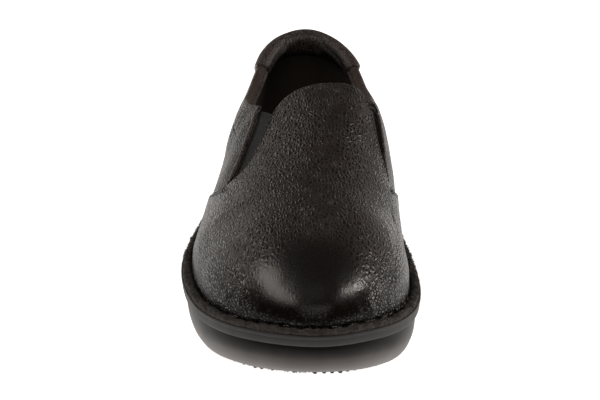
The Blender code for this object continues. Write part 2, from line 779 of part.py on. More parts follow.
def make_gore(upper, side):
    """Elastic behind one notch, lapping behind the leather in front, behind and below."""
    lateral = side == "lateral"
    edge = vamp_edge(CURVE_SAMPLES)
    edge = edge[: CURVE_SAMPLES // 2] if lateral else edge[: CURVE_SAMPLES // 2 : -1]
    edge = edge[edge[:, 1] < y_of(seam(side)["throat_along"])]
    foot, front = (upper.columns - 1, 0) if lateral else (upper.vamp, upper.vamp - 1)
    start = SHOE_LAST.plan_of(*(x[upper.belt_row, front : front + 1] for x in (upper.c, upper.r)))
    vamp = np.column_stack(SHOE_LAST.place_of(along_curve(np.vstack([start, edge[::20]]), UPPER_ROWS)))
    rows = slice(upper.belt_row, upper.belt_row + UPPER_ROWS + 1)
    quarter = np.column_stack([upper.c[rows, foot], upper.r[rows, foot]])
    ends = (quarter, vamp) if lateral else (vamp, quarter)
    ends = [np.vstack([end[:1] + [0, GORE_LAP / slope(end[0])], end]) for end in ends]
    points = [SHOE_LAST.at(*end.T) for end in ends]
    lap = GORE_LAP / np.linalg.norm(points[1] - points[0], axis=1)
    across = np.stack([-lap, 0 * lap, 0 * lap + 1 / 3, 0 * lap + 2 / 3, 0 * lap + 1, 1 + lap], axis=1)
    places = ends[0][:, None] + (ends[1] - ends[0])[:, None] * across[:, :, None]
    flat = places.reshape(-1, 2).T
    grid = SHOE_LAST.at(*flat).reshape(*across.shape, 3)
    normal = SHOE_LAST.normal(*flat).reshape(*across.shape, 3)
    outer = grid - normal * (LEATHER + GORE_CLEAR)
    return wall_solid("gore_" + side, outer, outer - normal * GORE_THICK)


def slope(place):
    """Metres of surface for each unit of r at a place."""
    nudge = 0.01
    ends = SHOE_LAST.at(np.full(2, place[0]), place[1] + np.array([0, nudge]))
    return np.linalg.norm(ends[1] - ends[0]) / nudge


def make_cuff(upper):
    """Patch over the collar round the heel, from the outside over the top edge to the inside."""
    ends = foot_place(CUFF_FRONT_ALONG, "medial"), foot_place(CUFF_FRONT_ALONG, "lateral")
    columns = between(*ends, CUFF_COLUMNS)
    rows = len(upper.grid)
    outside = []
    for k in range(rows - 3 - CUFF_ROWS_OUTSIDE, rows):
        lean = CUFF_LEAN * max(0, rows - 3 - k) / CUFF_ROWS_OUTSIDE
        outside.append(upper.on_row(upper.outer, k, 0.5 + (columns - 0.5) * (1 - lean)))
    inside = [upper.on_row(upper.inner, k, columns) for k in range(rows - 3 - CUFF_ROWS_INSIDE, rows)]
    path = np.array(outside + inside[::-1])
    normal = normals(path)
    edge_row = np.minimum(np.arange(len(path)), np.arange(len(path))[::-1])
    edge_column = np.minimum(np.arange(CUFF_COLUMNS + 1), np.arange(CUFF_COLUMNS + 1)[::-1])
    full = np.clip(0.4 + 0.6 * np.minimum(edge_row[:, None], edge_column[None, :]), 0, 1)
    inner = path + normal * CUFF_CLEAR
    return wall_solid("collar_cuff", inner + normal * (CUFF_THICK * full)[:, :, None], inner)


def finish(made, name):
    """Give an object its material."""
    _, colour, roughness = next(row for row in FINISHES if row[0] == name)
    material = bpy.data.materials.get(name) or bpy.data.materials.new(name)
    material.use_nodes = True
    shader = material.node_tree.nodes["Principled BSDF"]
    shader.inputs["Base Color"].default_value = (*colour, 1)
    shader.inputs["Roughness"].default_value = roughness
    made.data.materials.append(material)


def main():
    for old in list(bpy.data.objects):
        bpy.data.objects.remove(old)
    upper = UpperGrid()
    finish(make_outsole(), "outsole rubber")
    finish(make_midsole(), "midsole rubber")
    finish(make_welt(), "rough welt")
    finish(make_insole(), "dark lining")
    finish(make_upper(upper), "black leather")
    finish(make_gore(upper, "lateral"), "black elastic")
    finish(make_gore(upper, "medial"), "black elastic")
    finish(make_cuff(upper), "black leather")


main()
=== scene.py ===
"""Looks of a slip-on walking shoe for the right foot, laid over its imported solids.

Metres, +Z up, in the solids' own frame: the toe points to -Y, the medial side is +X and the floor is
z = 0. "Along" is the distance back from the toe tip of the sole's rim.
"""

import math

import bpy
import numpy as np
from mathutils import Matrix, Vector


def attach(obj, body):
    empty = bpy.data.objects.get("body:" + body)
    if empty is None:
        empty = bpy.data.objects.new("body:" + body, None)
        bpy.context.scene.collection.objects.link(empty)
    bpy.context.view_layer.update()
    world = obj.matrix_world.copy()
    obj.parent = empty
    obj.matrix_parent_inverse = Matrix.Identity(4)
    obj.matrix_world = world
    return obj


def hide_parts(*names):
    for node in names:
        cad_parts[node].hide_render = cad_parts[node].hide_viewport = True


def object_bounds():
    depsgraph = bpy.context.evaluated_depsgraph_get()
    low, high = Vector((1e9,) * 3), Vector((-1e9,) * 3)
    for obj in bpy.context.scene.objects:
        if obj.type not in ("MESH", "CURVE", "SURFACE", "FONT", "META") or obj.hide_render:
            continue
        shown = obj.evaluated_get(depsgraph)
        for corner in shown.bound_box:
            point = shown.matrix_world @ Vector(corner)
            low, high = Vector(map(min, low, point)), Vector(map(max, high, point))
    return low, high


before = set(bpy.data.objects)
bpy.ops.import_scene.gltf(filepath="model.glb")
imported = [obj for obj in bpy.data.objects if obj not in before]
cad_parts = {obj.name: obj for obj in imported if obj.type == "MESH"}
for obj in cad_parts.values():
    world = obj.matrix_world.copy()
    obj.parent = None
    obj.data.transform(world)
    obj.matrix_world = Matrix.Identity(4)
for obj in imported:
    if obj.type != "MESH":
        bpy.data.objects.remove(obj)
CAD_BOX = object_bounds()

MM = 0.001
GAP = 0.3 * MM  # clearance between pieces that meet
BODY = "root"
SIDES = ("lateral", "medial")

# Driving sizes, the first two from the frame
BALL_WIDTH, LENGTH = (CAD_BOX[1] - CAD_BOX[0])[:2]
ROUND = 2 * LENGTH  # about the way round the outline
RIM_THICK = 5.2 * MM
LEATHER = 1.8 * MM  # upper's wall, leather and lining together
VAMP_STEP = 1.0 * MM  # how far the vamp stands proud of the quarters it laps
LAP_ROUND = 0.9 * MM  # round on the vamp's cut edge
TURN_PER_MM = 0.005  # of the vamp's turn, for each millimetre at its wings
UNDERLAP = 9 * MM  # how far the quarters run on under the vamp
COLLAR_PAD = 5.5 * MM
COLLAR_PAD_DEPTH = 26 * MM
COLLAR_PAD_FRONT = 24 * MM
COLLAR_SWELL = 0.25 * MM  # how far the padding pushes the leather out
COLLAR_GROOVE = 0.5 * MM  # depth of the line under the padding
COLLAR_FACING = 15 * MM  # leather turned in over the collar before the lining starts
GORE_THICK = 1.4 * MM
GORE_LAP = 5 * MM
GORE_CLEAR = 0.45 * MM
GORE_BOW = 0.35 * MM  # how far it stands out between the leathers
HEM_RIB, HEM_PITCH = 0.16 * MM, 1.5 * MM  # ribs of its top hem
HIDE_WAVE, HIDE_WAVE_WIDTH = 0.12 * MM, 26 * MM  # slow unevenness of the hide
WELT_HEIGHT = 2.6 * MM
WELT_CREVICE = 1.1 * MM
WELT_MARGIN = 0.7 * MM
INSOLE_THICK = 4.5 * MM
INSOLE_CUP = 2.5 * MM
CUFF_THICK = 1.2 * MM
CUFF_CLEAR = 0.5 * MM
CUFF_FRONT_ALONG = 266 * MM
CUFF_OUTSIDE_SHARE = 3 / 7  # of the way from belt to top line where the cuff's lower edge is
CUFF_INSIDE_SHARE = 5 / 7
CUFF_LEAN = 0.3  # share of its length lost at its lower edge, as its front ends lean back
CUFF_ROUND = 1.3 * MM  # round of its edges
CUFF_PUFF = 0.25 * MM  # padding away from its edges
CUFF_PLEATS = (2.5 * MM, 9 * MM, 2.3 * MM)  # across their middle, half their width, and their pitch
PLEAT_DEPTH = 0.42 * MM
TREAD_DEPTH = 2 * MM
TREAD_GROOVE = 3 * MM
TREAD_PITCH = 10.5 * MM
TREAD_BOW = 9 * MM
STUD_INSETS = (15, 20.5, 26)  # mm from the rim's edge to each row of studs
TOE_CROWN = (5, -130, 47)  # mm, where the hide is pulled tightest
TIGHT_REACH = (16.5 * MM, 26 * MM)  # how far from there it is tight, and how much further to loose hide
BELT_TOE_HEIGHT = 17 * MM
BELT_HEEL_HEIGHT = 27 * MM

# Mesh fineness
STATIONS = 170
VAMP_COLUMNS = 230
QUARTER_COLUMNS = 220
LOWER_ROWS = 26
UPPER_ROWS = 78
ROUND_ROWS = 6
OUTSOLE_RINGS = 26
CURVE_SAMPLES = 2000
CORD_SIDES = 12

# Plan of the rim, from the toe tip down the lateral side and back up the medial one
RIM_PLAN = (
    # place, along in mm, across in mm (medial is positive)
    ("toe tip", 0, 7),
    ("lateral toe", 8.5, -17),
    ("lateral fourth toe", 24, -33.5),
    ("lateral little toe", 48, -46.5),
    ("lateral ball", 105, -56.7),
    ("lateral waist front", 148, -53.4),
    ("lateral waist", 190, -46.5),
    ("lateral heel", 248, -39.5),
    ("lateral heel corner", 285, -26),
    ("heel", 300, 2.5),
    ("medial heel corner", 285, 31),
    ("medial heel", 248, 43.5),
    ("medial waist", 192, 46),
    ("medial arch front", 148, 50.5),
    ("medial ball", 95, 55.3),
    ("medial big toe", 48, 52),
    ("medial second toe", 22, 40.5),
    ("medial toe", 7, 25),
)

# Side view of the sole, and the ledge it leaves outside the upper
SOLE_PROFILE = (
    # along, tread height, rim underside height, ledge from the rim's edge to the upper, all in mm
    (0, 16, 26.7, 6.4),
    (12, 10.6, 25.2, 6.3),
    (24, 5.5, 23.7, 6.3),
    (36, 1.8, 22.7, 6.3),
    (52, 0, 21.5, 6.3),
    (90, 0, 20.2, 6.2),
    (128, 0, 20.7, 5.6),
    (165, 5, 23, 4.6),
    (185, 5, 25, 4.2),
    (207, 0, 27.1, 4.2),
    (250, 0, 30.2, 4.2),
    (278, 0, 31.7, 4.2),
    (300, 6, 32.2, 4.2),
)
TOE_ROLL = 0.0095 / MM
TOE_ROLL_ACROSS = 7 * MM
TOE_ROLL_ALONG = (60 * MM, 110 * MM)

# Side of the outsole from the rim down to the tread: inset from the rim's edge in mm, share of its height
OUTSOLE_WALL = ((2.8, 1.0), (2.35, 0.8), (2.7, 0.55), (4.2, 0.3), (6.6, 0.12), (9.6, 0.03), (12.8, 0.0))

# Edge of the rim, a moulded lip above a slightly set back lower band: inset in mm, share of its thickness
RIM_EDGE = (
    (1.2, 0.0), (0.75, 0.03), (0.5, 0.09), (0.4, 0.2), (0.34, 0.58), (0.4, 0.615), (0.36, 0.64),
    (0.06, 0.67), (0.0, 0.72), (0.0, 0.88), (0.12, 0.95), (0.5, 1.0), (7.0, 1.0),
)

# The last: its ridge line, how square each side's section is, and how far each side bulges
LAST = (
    # along, ridge across, ridge height, then squareness and bulge, lateral and medial each; lengths in mm
    (0, 6, 52, 2.6, 2.6, 0.0, 0.0),
    (40, 6, 60, 2.4, 2.5, 0.0, 0.0),
    (95, 8, 69, 2.0, 2.2, 0.0, 0.0),
    (130, 12, 79, 1.8, 2.3, 0.0, 1.2),
    (165, 15, 91.5, 1.9, 2.8, 0.2, 3.4),
    (187, 16, 97.5, 2.0, 2.9, 0.5, 4.2),
    (215, 10, 99, 2.2, 2.7, 1.2, 3.4),
    (250, 4, 105, 1.9, 2.3, 1.4, 1.8),
    (300, 2, 126, 2.6, 2.6, 2.2, 2.2),
)
TOE_SQUARENESS = 2.7
HEEL_SQUARENESS = 2.7
TOE_FAN_ALONG = 95 * MM
HEEL_FAN_ALONG = 252 * MM
BULGE_HEIGHT = 22 * MM

# Edge of the vamp in plan, up the lateral gore, round the throat and down the medial gore: along, across, mm
VAMP_EDGE = (
    (130.3, -31.5), (132, -26.5), (138.5, -21.8), (152, -16.9), (166, -13), (173.5, -9.3), (178, -4.3),
    (180.3, 3), (181, 11), (181, 18), (180.3, 24), (178.5, 28), (174.5, 31), (168, 32.7), (158, 34.3),
    (148, 36.4), (138.5, 39.2), (130, 41.2),
)

# Top line of the quarters: along, lateral height, medial height, in mm
COLLAR = (
    (186, 84, 84), (205, 80.5, 81.5), (226, 79, 80), (248, 80.5, 82), (265, 86.5, 86), (280, 93.3, 92),
    (296, 100.3, 100.3),
)

# Where the gores and the vamp's wings end, on each side
SEAMS = {
    # gore foot along, its height and its width, wing end along, top of the gore along on the vamp
    # and on the quarter, upward bow of the quarter's edge, in mm
    "lateral": (128, 57, 4, 188, 168, 188, 1),
    "medial": (127, 57, 4, 188, 169, 182, 2),
}

# Pale thread ends that show in the welt: place round the rim, length in mm
WELT_THREADS = (
    (0.893, 1.2), (0.902, 2.4), (0.911, 1.3), (0.918, 2.0), (0.931, 1.2), (0.938, 2.6),
    (0.952, 1.4), (0.957, 1.2), (0.969, 1.3), (0.985, 1.2), (0.021, 1.2), (0.064, 1.3),
)

# Soft troughs that the leather has taken on the flanks
WRINKLES = (
    # side, start along and height, end along and height, width, depth, in mm
    ("medial", 62, 41, 98, 47, 1.6, 0.30),
    ("medial", 70, 46, 112, 53, 1.5, 0.26),
    ("medial", 55, 47, 88, 56, 1.7, 0.24),
    ("medial", 90, 40, 128, 46, 1.8, 0.28),
    ("medial", 104, 58, 134, 51, 1.7, 0.22),
    ("medial", 48, 37, 76, 39, 1.4, 0.24),
    ("lateral", 70, 44, 110, 50, 1.8, 0.24),
    ("lateral", 92, 52, 128, 46, 1.7, 0.22),
    ("lateral", 60, 38, 96, 41, 1.5, 0.20),
    ("lateral", 112, 41, 148, 45, 1.8, 0.22),
    ("lateral", 191, 76, 176, 54, 1.7, 0.40),
    ("lateral", 198, 78, 184, 50, 1.9, 0.45),
    ("lateral", 206, 76, 195, 56, 2.0, 0.40),
    ("lateral", 196, 52, 232, 48, 2.4, 0.30),
    ("medial", 200, 55, 236, 50, 2.4, 0.30),
    ("lateral", 214, 62, 246, 60, 2.2, 0.24),
    ("medial", 212, 64, 244, 61, 2.2, 0.24),
)


def y_of(along):
    """Y of a place that many metres behind the toe tip."""
    return np.asarray(along, float) - LENGTH / 2


def column(table, index, scale=MM):
    """One column of a table, in metres unless it has another scale."""
    return np.array([row[index] for row in table], float) * scale


def between(start, end, count):
    """count + 1 evenly spaced values."""
    return start + (end - start) * np.arange(count + 1) / count


def ease(x):
    """0 to 1, level at both ends."""
    x = np.clip(x, 0, 1)
    return x * x * (3 - 2 * x)


def bell(x, middle, width):
    """1 at the middle, and fading out to both sides."""
    return np.exp(-(((x - middle) / width) ** 2))


def unit(vectors, least=0.0):
    """Vectors brought to length 1, apart from those shorter than the least."""
    return vectors / np.maximum(np.linalg.norm(vectors, axis=-1, keepdims=True), least)


def travel(points, axis=0):
    """Distance of each point from the first one, along the way through them."""
    steps = np.diff(points, axis=axis, prepend=np.take(points, [0], axis))
    return np.linalg.norm(steps, axis=-1).cumsum(axis)


def read_off(wanted, known, points):
    """Points at the wanted values, straight between points at known ones."""
    return np.column_stack([np.interp(wanted, known, line) for line in points.T])


def hermite(start, end, leave, arrive, t, span):
    """Cubic from start to end with those tangents, at shares t of the span."""
    return (
        start * (1 + 2 * t) * (1 - t) ** 2
        + end * t * t * (3 - 2 * t)
        + span * (leave * t * (1 - t) ** 2 - arrive * t * t * (1 - t))
    )


def smooth(xs, ys, x):
    """Monotone cubic through the points (xs, ys), so a level stretch stays level."""
    xs, ys = np.asarray(xs, float), np.asarray(ys, float)
    step = np.diff(xs)
    slope = np.diff(ys) / step
    before, after = slope[:-1], slope[1:]
    inner = np.where(before * after > 0, 2 * before * after / (before + after + 1e-30), 0)
    tangent = np.concatenate([[slope[0]], inner, [slope[-1]]])
    x = np.clip(x, xs[0], xs[-1])
    i = np.clip(np.searchsorted(xs, x) - 1, 0, len(step) - 1)
    return hermite(ys[i], ys[i + 1], tangent[i], tangent[i + 1], (x - xs[i]) / step[i], step[i])


def smooth_loop(points, samples):
    """Closed cubic spline through points, with knots by the root of chord length."""
    points = np.asarray(points, float)
    count = len(points)
    chord = np.linalg.norm(np.roll(points, -1, axis=0) - points, axis=1) ** 0.5
    knots = np.concatenate([[0], np.cumsum(chord)])
    before = np.roll(chord, 1)
    rise = (np.roll(points, -1, axis=0) - points) / chord[:, None]
    system = np.zeros((count, count))
    for i in range(count):
        system[i, i - 1] = chord[i]
        system[i, i] = 2 * (before[i] + chord[i])
        system[i, (i + 1) % count] = before[i]
    wanted = 3 * (chord[:, None] * np.roll(rise, 1, axis=0) + before[:, None] * rise)
    tangent = np.linalg.solve(system, wanted)
    place = np.linspace(0, knots[-1], samples, endpoint=False)
    i = np.searchsorted(knots, place, side="right") - 1
    j = (i + 1) % count
    t = ((place - knots[i]) / chord[i])[:, None]
    return hermite(points[i], points[j], tangent[i], tangent[j], t, chord[i][:, None])


def ripple(points, size, seed, waves=28):
    """Smooth seeded noise of about -1 to 1 over points, with humps about that size."""
    rng = np.random.default_rng(seed)
    heading = unit(rng.normal(size=(waves, 3)))
    pace = 2 * np.pi / size * rng.uniform(0.35, 0.8, waves)
    start = rng.uniform(0, 2 * np.pi, waves)
    flat = np.asarray(points).reshape(-1, 3)
    total = np.sin(flat @ (heading * pace[:, None]).T + start).sum(1) / math.sqrt(waves)
    return total.reshape(np.asarray(points).shape[:-1])


def on_side(c, lateral, medial):
    """Values for the side that each place c is on."""
    return np.where(np.asarray(c) % 1 < 0.5, lateral, medial)


class Plan:
    """The rim's outline in plan.

    A place on it is c: 0 at the toe tip, 0.5 at the heel, 1 at the toe again, lateral side first.
    """

    def __init__(self):
        raw = smooth_loop(np.column_stack([column(RIM_PLAN, 2), column(RIM_PLAN, 1)]), CURVE_SAMPLES)
        low, high = raw.min(0), raw.max(0)
        points = (raw - (low + high) / 2) * np.array([BALL_WIDTH, LENGTH]) / (high - low)
        points = np.roll(points, -int(points[:, 1].argmin()), axis=0)
        self.points = np.vstack([points, points[:1]])
        gone = travel(self.points)
        heel = int(points[:, 1].argmax())
        front = gone[: heel + 1] / gone[heel] / 2
        back = 0.5 + (gone[heel:] - gone[heel]) / (gone[-1] - gone[heel]) / 2
        self.c = np.concatenate([front, back[1:]])
        ahead = np.roll(points, -1, axis=0) - np.roll(points, 1, axis=0)
        inward = unit(np.column_stack([-ahead[:, 1], ahead[:, 0]]))
        inward *= np.sign(-(inward * points).sum(1).mean())
        self.inward = np.vstack([inward, inward[:1]])

    def at(self, c, inset=0.0, ledge=0.0):
        """Points of the outline moved inwards by inset and by a share of the ledge."""
        moved = self.points + self.inward * (inset + ledge * ledge_width(self.points[:, 1]))[:, None]
        return read_off(np.asarray(c, float) % 1, self.c, moved)

    def foot(self, c):
        """Points of the upper's foot line."""
        return self.at(c, ledge=1.0)

    def place(self, y, side, ledge=0.0):
        """c of the point at y on that side of the outline or, with a ledge of 1, of the foot line."""
        c = np.linspace(0 if side == "lateral" else 1, 0.5, CURVE_SAMPLES)
        return np.interp(y, self.at(c, ledge=ledge)[:, 1], c)

    def stations(self):
        """c of pairs of points at the same y, the lateral half first, closer together at toe and heel."""
        share = (1 - np.cos(np.pi * np.arange(STATIONS + 1) / STATIONS)) / 2
        y = (share - 0.5) * LENGTH
        lateral, medial = (self.place(y, side) for side in SIDES)
        return np.concatenate([lateral, medial[-2:0:-1]])


def table_at(table, index, y, scale=MM):
    """One column of a table at y. The table's first column is the distance along."""
    return smooth(y_of(column(table, 0)), column(table, index, scale), y)


def tread_height(x, y):
    """Height of the outsole's underside, which rolls up round the toe."""
    start, end = y_of(TOE_ROLL_ALONG)
    roll = TOE_ROLL * (x - TOE_ROLL_ACROSS) ** 2 * ease((end - y) / (end - start))
    return table_at(SOLE_PROFILE, 1, y - roll)


def rim_under(y):
    return table_at(SOLE_PROFILE, 2, y)


def ledge_width(y):
    return table_at(SOLE_PROFILE, 3, y)


def rim_top(y):
    return rim_under(y) + RIM_THICK


PLAN = Plan()


class Last:
    """The outer face of the quarters, carried on as if the ankle and the gores were covered.

    A place is (c, r): c on the foot line, and r from 1 at the foot line to 0 on the ridge.
    """

    toe_y, heel_y = float(y_of(TOE_FAN_ALONG)), float(y_of(HEEL_FAN_ALONG))

    def frame(self, c):
        """Foot line points, the ridge points they lean to, and each place's squareness and bulge."""
        foot = PLAN.foot(c)
        y = np.clip(foot[:, 1], self.toe_y, self.heel_y)
        ridge = np.column_stack([table_at(LAST, 1, y), y])
        square = on_side(c, table_at(LAST, 3, y, 1), table_at(LAST, 4, y, 1))
        reach = foot - ridge
        turn = np.abs(reach[:, 1]) / np.linalg.norm(reach, axis=1)
        end = np.where(foot[:, 1] < 0, TOE_SQUARENESS, HEEL_SQUARENESS)
        square = square + (end - square) * turn**2
        bulge = on_side(c, table_at(LAST, 5, foot[:, 1]), table_at(LAST, 6, foot[:, 1]))
        return foot, ridge, square, bulge

    def height(self, c, r):
        foot, ridge, square, _ = self.frame(c)
        y = ridge[:, 1] + r * (foot[:, 1] - ridge[:, 1])
        low = rim_top(foot[:, 1]) + GAP
        return low + (table_at(LAST, 2, y) - low) * (1 - np.clip(r, 0, 1) ** square) ** (1 / square)

    def at(self, c, r):
        """Points of the surface."""
        c, r = np.asarray(c, float), np.asarray(r, float)
        foot, ridge, _, bulge = self.frame(c)
        z = self.height(c, r)
        rise = (z - rim_top(foot[:, 1]) - GAP) / BULGE_HEIGHT
        out = unit(foot - ridge) * (bulge * rise * np.exp(1 - rise))[:, None]
        return np.column_stack([ridge + (foot - ridge) * r[:, None] + out, z])

    def normal(self, c, r):
        """Unit normals of the surface."""
        step = 1e-4
        along = self.at(c + step, r) - self.at(c - step, r)
        up = self.at(c, np.maximum(r - step, 0)) - self.at(c, np.minimum(r + step, 1))
        return unit(np.cross(up, along))

    def reach_of(self, c, z):
        """r of the places c at height z, by halving."""
        low, high = np.zeros(len(c)), np.ones(len(c))
        for _ in range(40):
            middle = (low + high) / 2
            above = self.height(c, middle) > z
            low, high = np.where(above, middle, low), np.where(above, high, middle)
        return (low + high) / 2

    def plan_of(self, c, r):
        """Where a place would be in plan without the bulge."""
        foot, ridge, _, _ = self.frame(c)
        return ridge + (foot - ridge) * r[:, None]

    def place_of(self, plan):
        """(c, r) of points in plan that lie on the vamp."""
        plan = np.asarray(plan, float)
        ridge_x = table_at(LAST, 1, np.maximum(plan[:, 1], self.toe_y))
        lateral, medial = (PLAN.place(plan[:, 1], side, 1) for side in SIDES)
        side_c = np.where(plan[:, 0] < ridge_x, lateral, medial)
        dense = np.linspace(-0.25, 0.25, CURVE_SAMPLES)
        foot = PLAN.foot(dense)
        centre = np.array([table_at(LAST, 1, self.toe_y), self.toe_y])
        bearing, wanted = (np.arctan2(*(centre - points).T) for points in (foot, plan))
        front = foot[:, 1] < self.toe_y
        fan_c = np.interp(wanted, bearing[front], dense[front])
        c = np.where(plan[:, 1] < self.toe_y, fan_c, side_c)
        foot, ridge, _, _ = self.frame(c)
        return c, np.linalg.norm(plan - ridge, axis=1) / np.linalg.norm(foot - ridge, axis=1)


SHOE_LAST = Last()


def along_curve(points, shares):
    """Points at shares of the length of a smooth curve through points."""
    points = np.asarray(points, float)
    knots = travel(points)
    dense = np.linspace(0, knots[-1], CURVE_SAMPLES)
    curve = np.column_stack([smooth(knots, line, dense) for line in points.T])
    gone = travel(curve)
    return read_off(np.asarray(shares) * gone[-1], gone, curve)


def seam(side):
    """The seam row of one side as a dict in metres."""
    names = "gore_along gore_height gore_width wing_along throat_along corner_along quarter_bow"
    return {name: value * MM for name, value in zip(names.split(), SEAMS[side])}


def both(name):
    """Foot line places of one of the seam table's distances, lateral and medial."""
    return [float(PLAN.place(y_of(seam(side)[name]), side, 1)) for side in SIDES]


def collar_height(c):
    """Height of the top line over the foot line place c."""
    y = PLAN.foot(c)[:, 1]
    return on_side(c, table_at(COLLAR, 1, y), table_at(COLLAR, 2, y))


def vamp_edge(shares):
    """Points along the vamp's edge in plan."""
    return along_curve(np.column_stack([column(VAMP_EDGE, 1), y_of(column(VAMP_EDGE, 0))]), shares)


def arch(share):
    """A bow's height along an edge: none at its ends and most a third of the way up."""
    return 6.75 * share * (1 - share) ** 2


def round_angles():
    """Angles of the rows that take an edge round from its face to its tip."""
    return np.pi / 2 * np.arange(1, ROUND_ROWS + 1) / ROUND_ROWS


def edge_shares(length, radius):
    """Shares of the upper band for its rows: even, then closer where the top edge rounds."""
    start = 1 - radius / length
    even = [start * k / UPPER_ROWS for k in range(1, UPPER_ROWS + 1)]
    return even + [1 - radius / length * (1 - math.sin(a)) for a in round_angles()]


class Panel:
    """A leather panel's rows and columns of places on the last, from the foot line to its top edge.

    Its turn runs from -1 to 1 across the panel, and its belt is the row where the gores start.
    """

    def __init__(self, turn, foot_c, belt_c, belt_height, power):
        self.turn, self.belt_c = turn, belt_c
        low = rim_top(PLAN.foot(belt_c)[:, 1]) + belt_height
        gore_z = on_side(belt_c, *(seam(side)["gore_height"] for side in SIDES))
        self.belt_z = low + (gore_z - low) * np.abs(turn) ** power
        foot_z = rim_top(PLAN.foot(foot_c)[:, 1]) + GAP
        self.places = []
        for share in between(0, 1, LOWER_ROWS):
            c = foot_c + (belt_c - foot_c) * share
            z = foot_z + (self.belt_z - foot_z) * share
            self.places.append((c, SHOE_LAST.reach_of(c, z) if share else np.ones(len(c))))

    def settle(self):
        """Work out points and normals once all rows are there."""
        self.c = np.array([c for c, _ in self.places])
        self.r = np.array([r for _, r in self.places])
        self.grid = np.array([SHOE_LAST.at(c, r) for c, r in self.places])
        self.normal = np.array([SHOE_LAST.normal(c, r) for c, r in self.places])
        self.below = np.linalg.norm(self.grid - self.grid[-1][None], axis=2)
        self.rounding = np.ones((len(self.places), 1))
        self.rounding[-ROUND_ROWS:, 0] = np.maximum(np.cos(round_angles()), 0.04)
        return self

    def face(self, offset):
        """Points of the panel moved out along its normals."""
        moved = self.grid + self.normal * offset[:, :, None]
        moved[0, :, 2] = self.grid[0, :, 2]
        return moved


def make_vamp_panel():
    """Toe, vamp and wings. Its top edge runs up one gore, round the throat and down the other."""
    fine = np.array([0, 0.12, 0.45, 1.0]) * TURN_PER_MM
    turn = np.concatenate([-1 + fine, between(-1, 1, VAMP_COLUMNS)[2:-2], 1 - fine[::-1]])
    share = (turn + 1) / 2
    (wing_l, wing_m), (gore_l, gore_m) = both("wing_along"), both("gore_along")
    belt_c = gore_l + (gore_m - 1 - gore_l) * share
    panel = Panel(turn, wing_l + (wing_m - 1 - wing_l) * share, belt_c, BELT_TOE_HEIGHT, 3)
    belt = SHOE_LAST.plan_of(belt_c, SHOE_LAST.reach_of(belt_c, panel.belt_z))
    chord = vamp_edge(share) - belt
    length = np.linalg.norm(chord, axis=1)
    for step in edge_shares(length, (LEATHER + VAMP_STEP) / 2):
        panel.places.append(SHOE_LAST.place_of(belt + chord * step[:, None]))
    return panel.settle()


def make_quarter_panel():
    """Quarters and heel, from the medial gore round the heel to the lateral gore."""
    turn = between(-1, 1, QUARTER_COLUMNS)
    share = (turn + 1) / 2
    (wing_l, wing_m), (gore_l, gore_m) = both("wing_along"), both("gore_along")
    lateral, medial = seam("lateral"), seam("medial")
    per_metre = 1 / ROUND
    start, end = gore_m - medial["gore_width"] * per_metre, gore_l + lateral["gore_width"] * per_metre
    belt_c = start + (end - start) * share
    panel = Panel(turn, wing_m + (wing_l - wing_m) * share, belt_c, BELT_HEEL_HEIGHT, 4)
    run_on = -np.sign(turn) * np.abs(turn) ** 14 * UNDERLAP * per_metre
    for row, (c, r) in enumerate(panel.places):
        z = SHOE_LAST.height(c, r)
        panel.places[row] = (c + run_on, SHOE_LAST.reach_of(c + run_on, z) if row else r)
    corner_l, corner_m = both("corner_along")
    top_c = corner_m + (corner_l - corner_m) * share
    top_z = collar_height(top_c)
    bow = np.where(turn < 0, medial["quarter_bow"], lateral["quarter_bow"])
    bow = bow * np.clip(4 * np.abs(turn) - 3, 0, 1) ** 2
    length = np.abs(top_z - panel.belt_z) + np.abs(top_c - belt_c) * LENGTH
    for step in edge_shares(length, COLLAR_PAD / 2):
        z = panel.belt_z + (top_z - panel.belt_z) * step + bow * arch(step)
        c = belt_c + (top_c - belt_c) * step + run_on * ease(1 - step * length / (3 * MM))
        panel.places.append((c, SHOE_LAST.reach_of(c, z)))
    return panel.settle()


def link(name, mesh):
    made = bpy.data.objects.new(name, mesh)
    bpy.context.scene.collection.objects.link(made)
    return made


def mesh_piece(name, points, faces, materials=(), sharp=None):
    """A smooth shaded mesh object from points and faces."""
    mesh = bpy.data.meshes.new(name)
    mesh.from_pydata(np.asarray(points).reshape(-1, 3).tolist(), [], faces)
    mesh.shade_smooth()
    if sharp:
        mesh.set_sharp_from_angle(angle=math.radians(sharp))
    for material in materials:
        mesh.materials.append(material)
    return link(name, mesh)


def put_field(piece, name, *layers):
    """Store a number for each point, one layer of points after the other, for the material to read."""
    field = piece.data.attributes.new(name, "FLOAT", "POINT")
    values = np.concatenate([np.ravel(layer) for layer in layers])
    field.data.foreach_set("value", values.astype(np.float32))


def put_uv(piece, name, values):
    """A UV map from a pair of numbers for each point."""
    layer = piece.data.uv_layers.new(name=name)
    corners = np.zeros(len(piece.data.loops), np.int32)
    piece.data.loops.foreach_get("vertex_index", corners)
    layer.data.foreach_set("uv", np.asarray(values, np.float32).reshape(-1, 2)[corners].ravel())


def grid_faces(rows, columns, start=0, turned=False):
    """Four-cornered faces of a grid of points, row by row."""
    a = (np.arange(rows - 1)[:, None] * columns + np.arange(columns - 1)[None, :]).ravel() + start
    quads = np.column_stack([a, a + 1, a + columns + 1, a + columns])
    return quads[:, ::-1] if turned else quads


def tube_faces(rings, around, order, closed=False):
    """Four-cornered faces between rings of points, ring by ring, with their corners in that order."""
    k, i = np.divmod(np.arange((rings if closed else rings - 1) * around), around)
    j, m = (i + 1) % around, (k + 1) % rings
    corners = (k * around + i, k * around + j, m * around + j, m * around + i)
    return np.column_stack([corners[n] for n in order]).tolist()


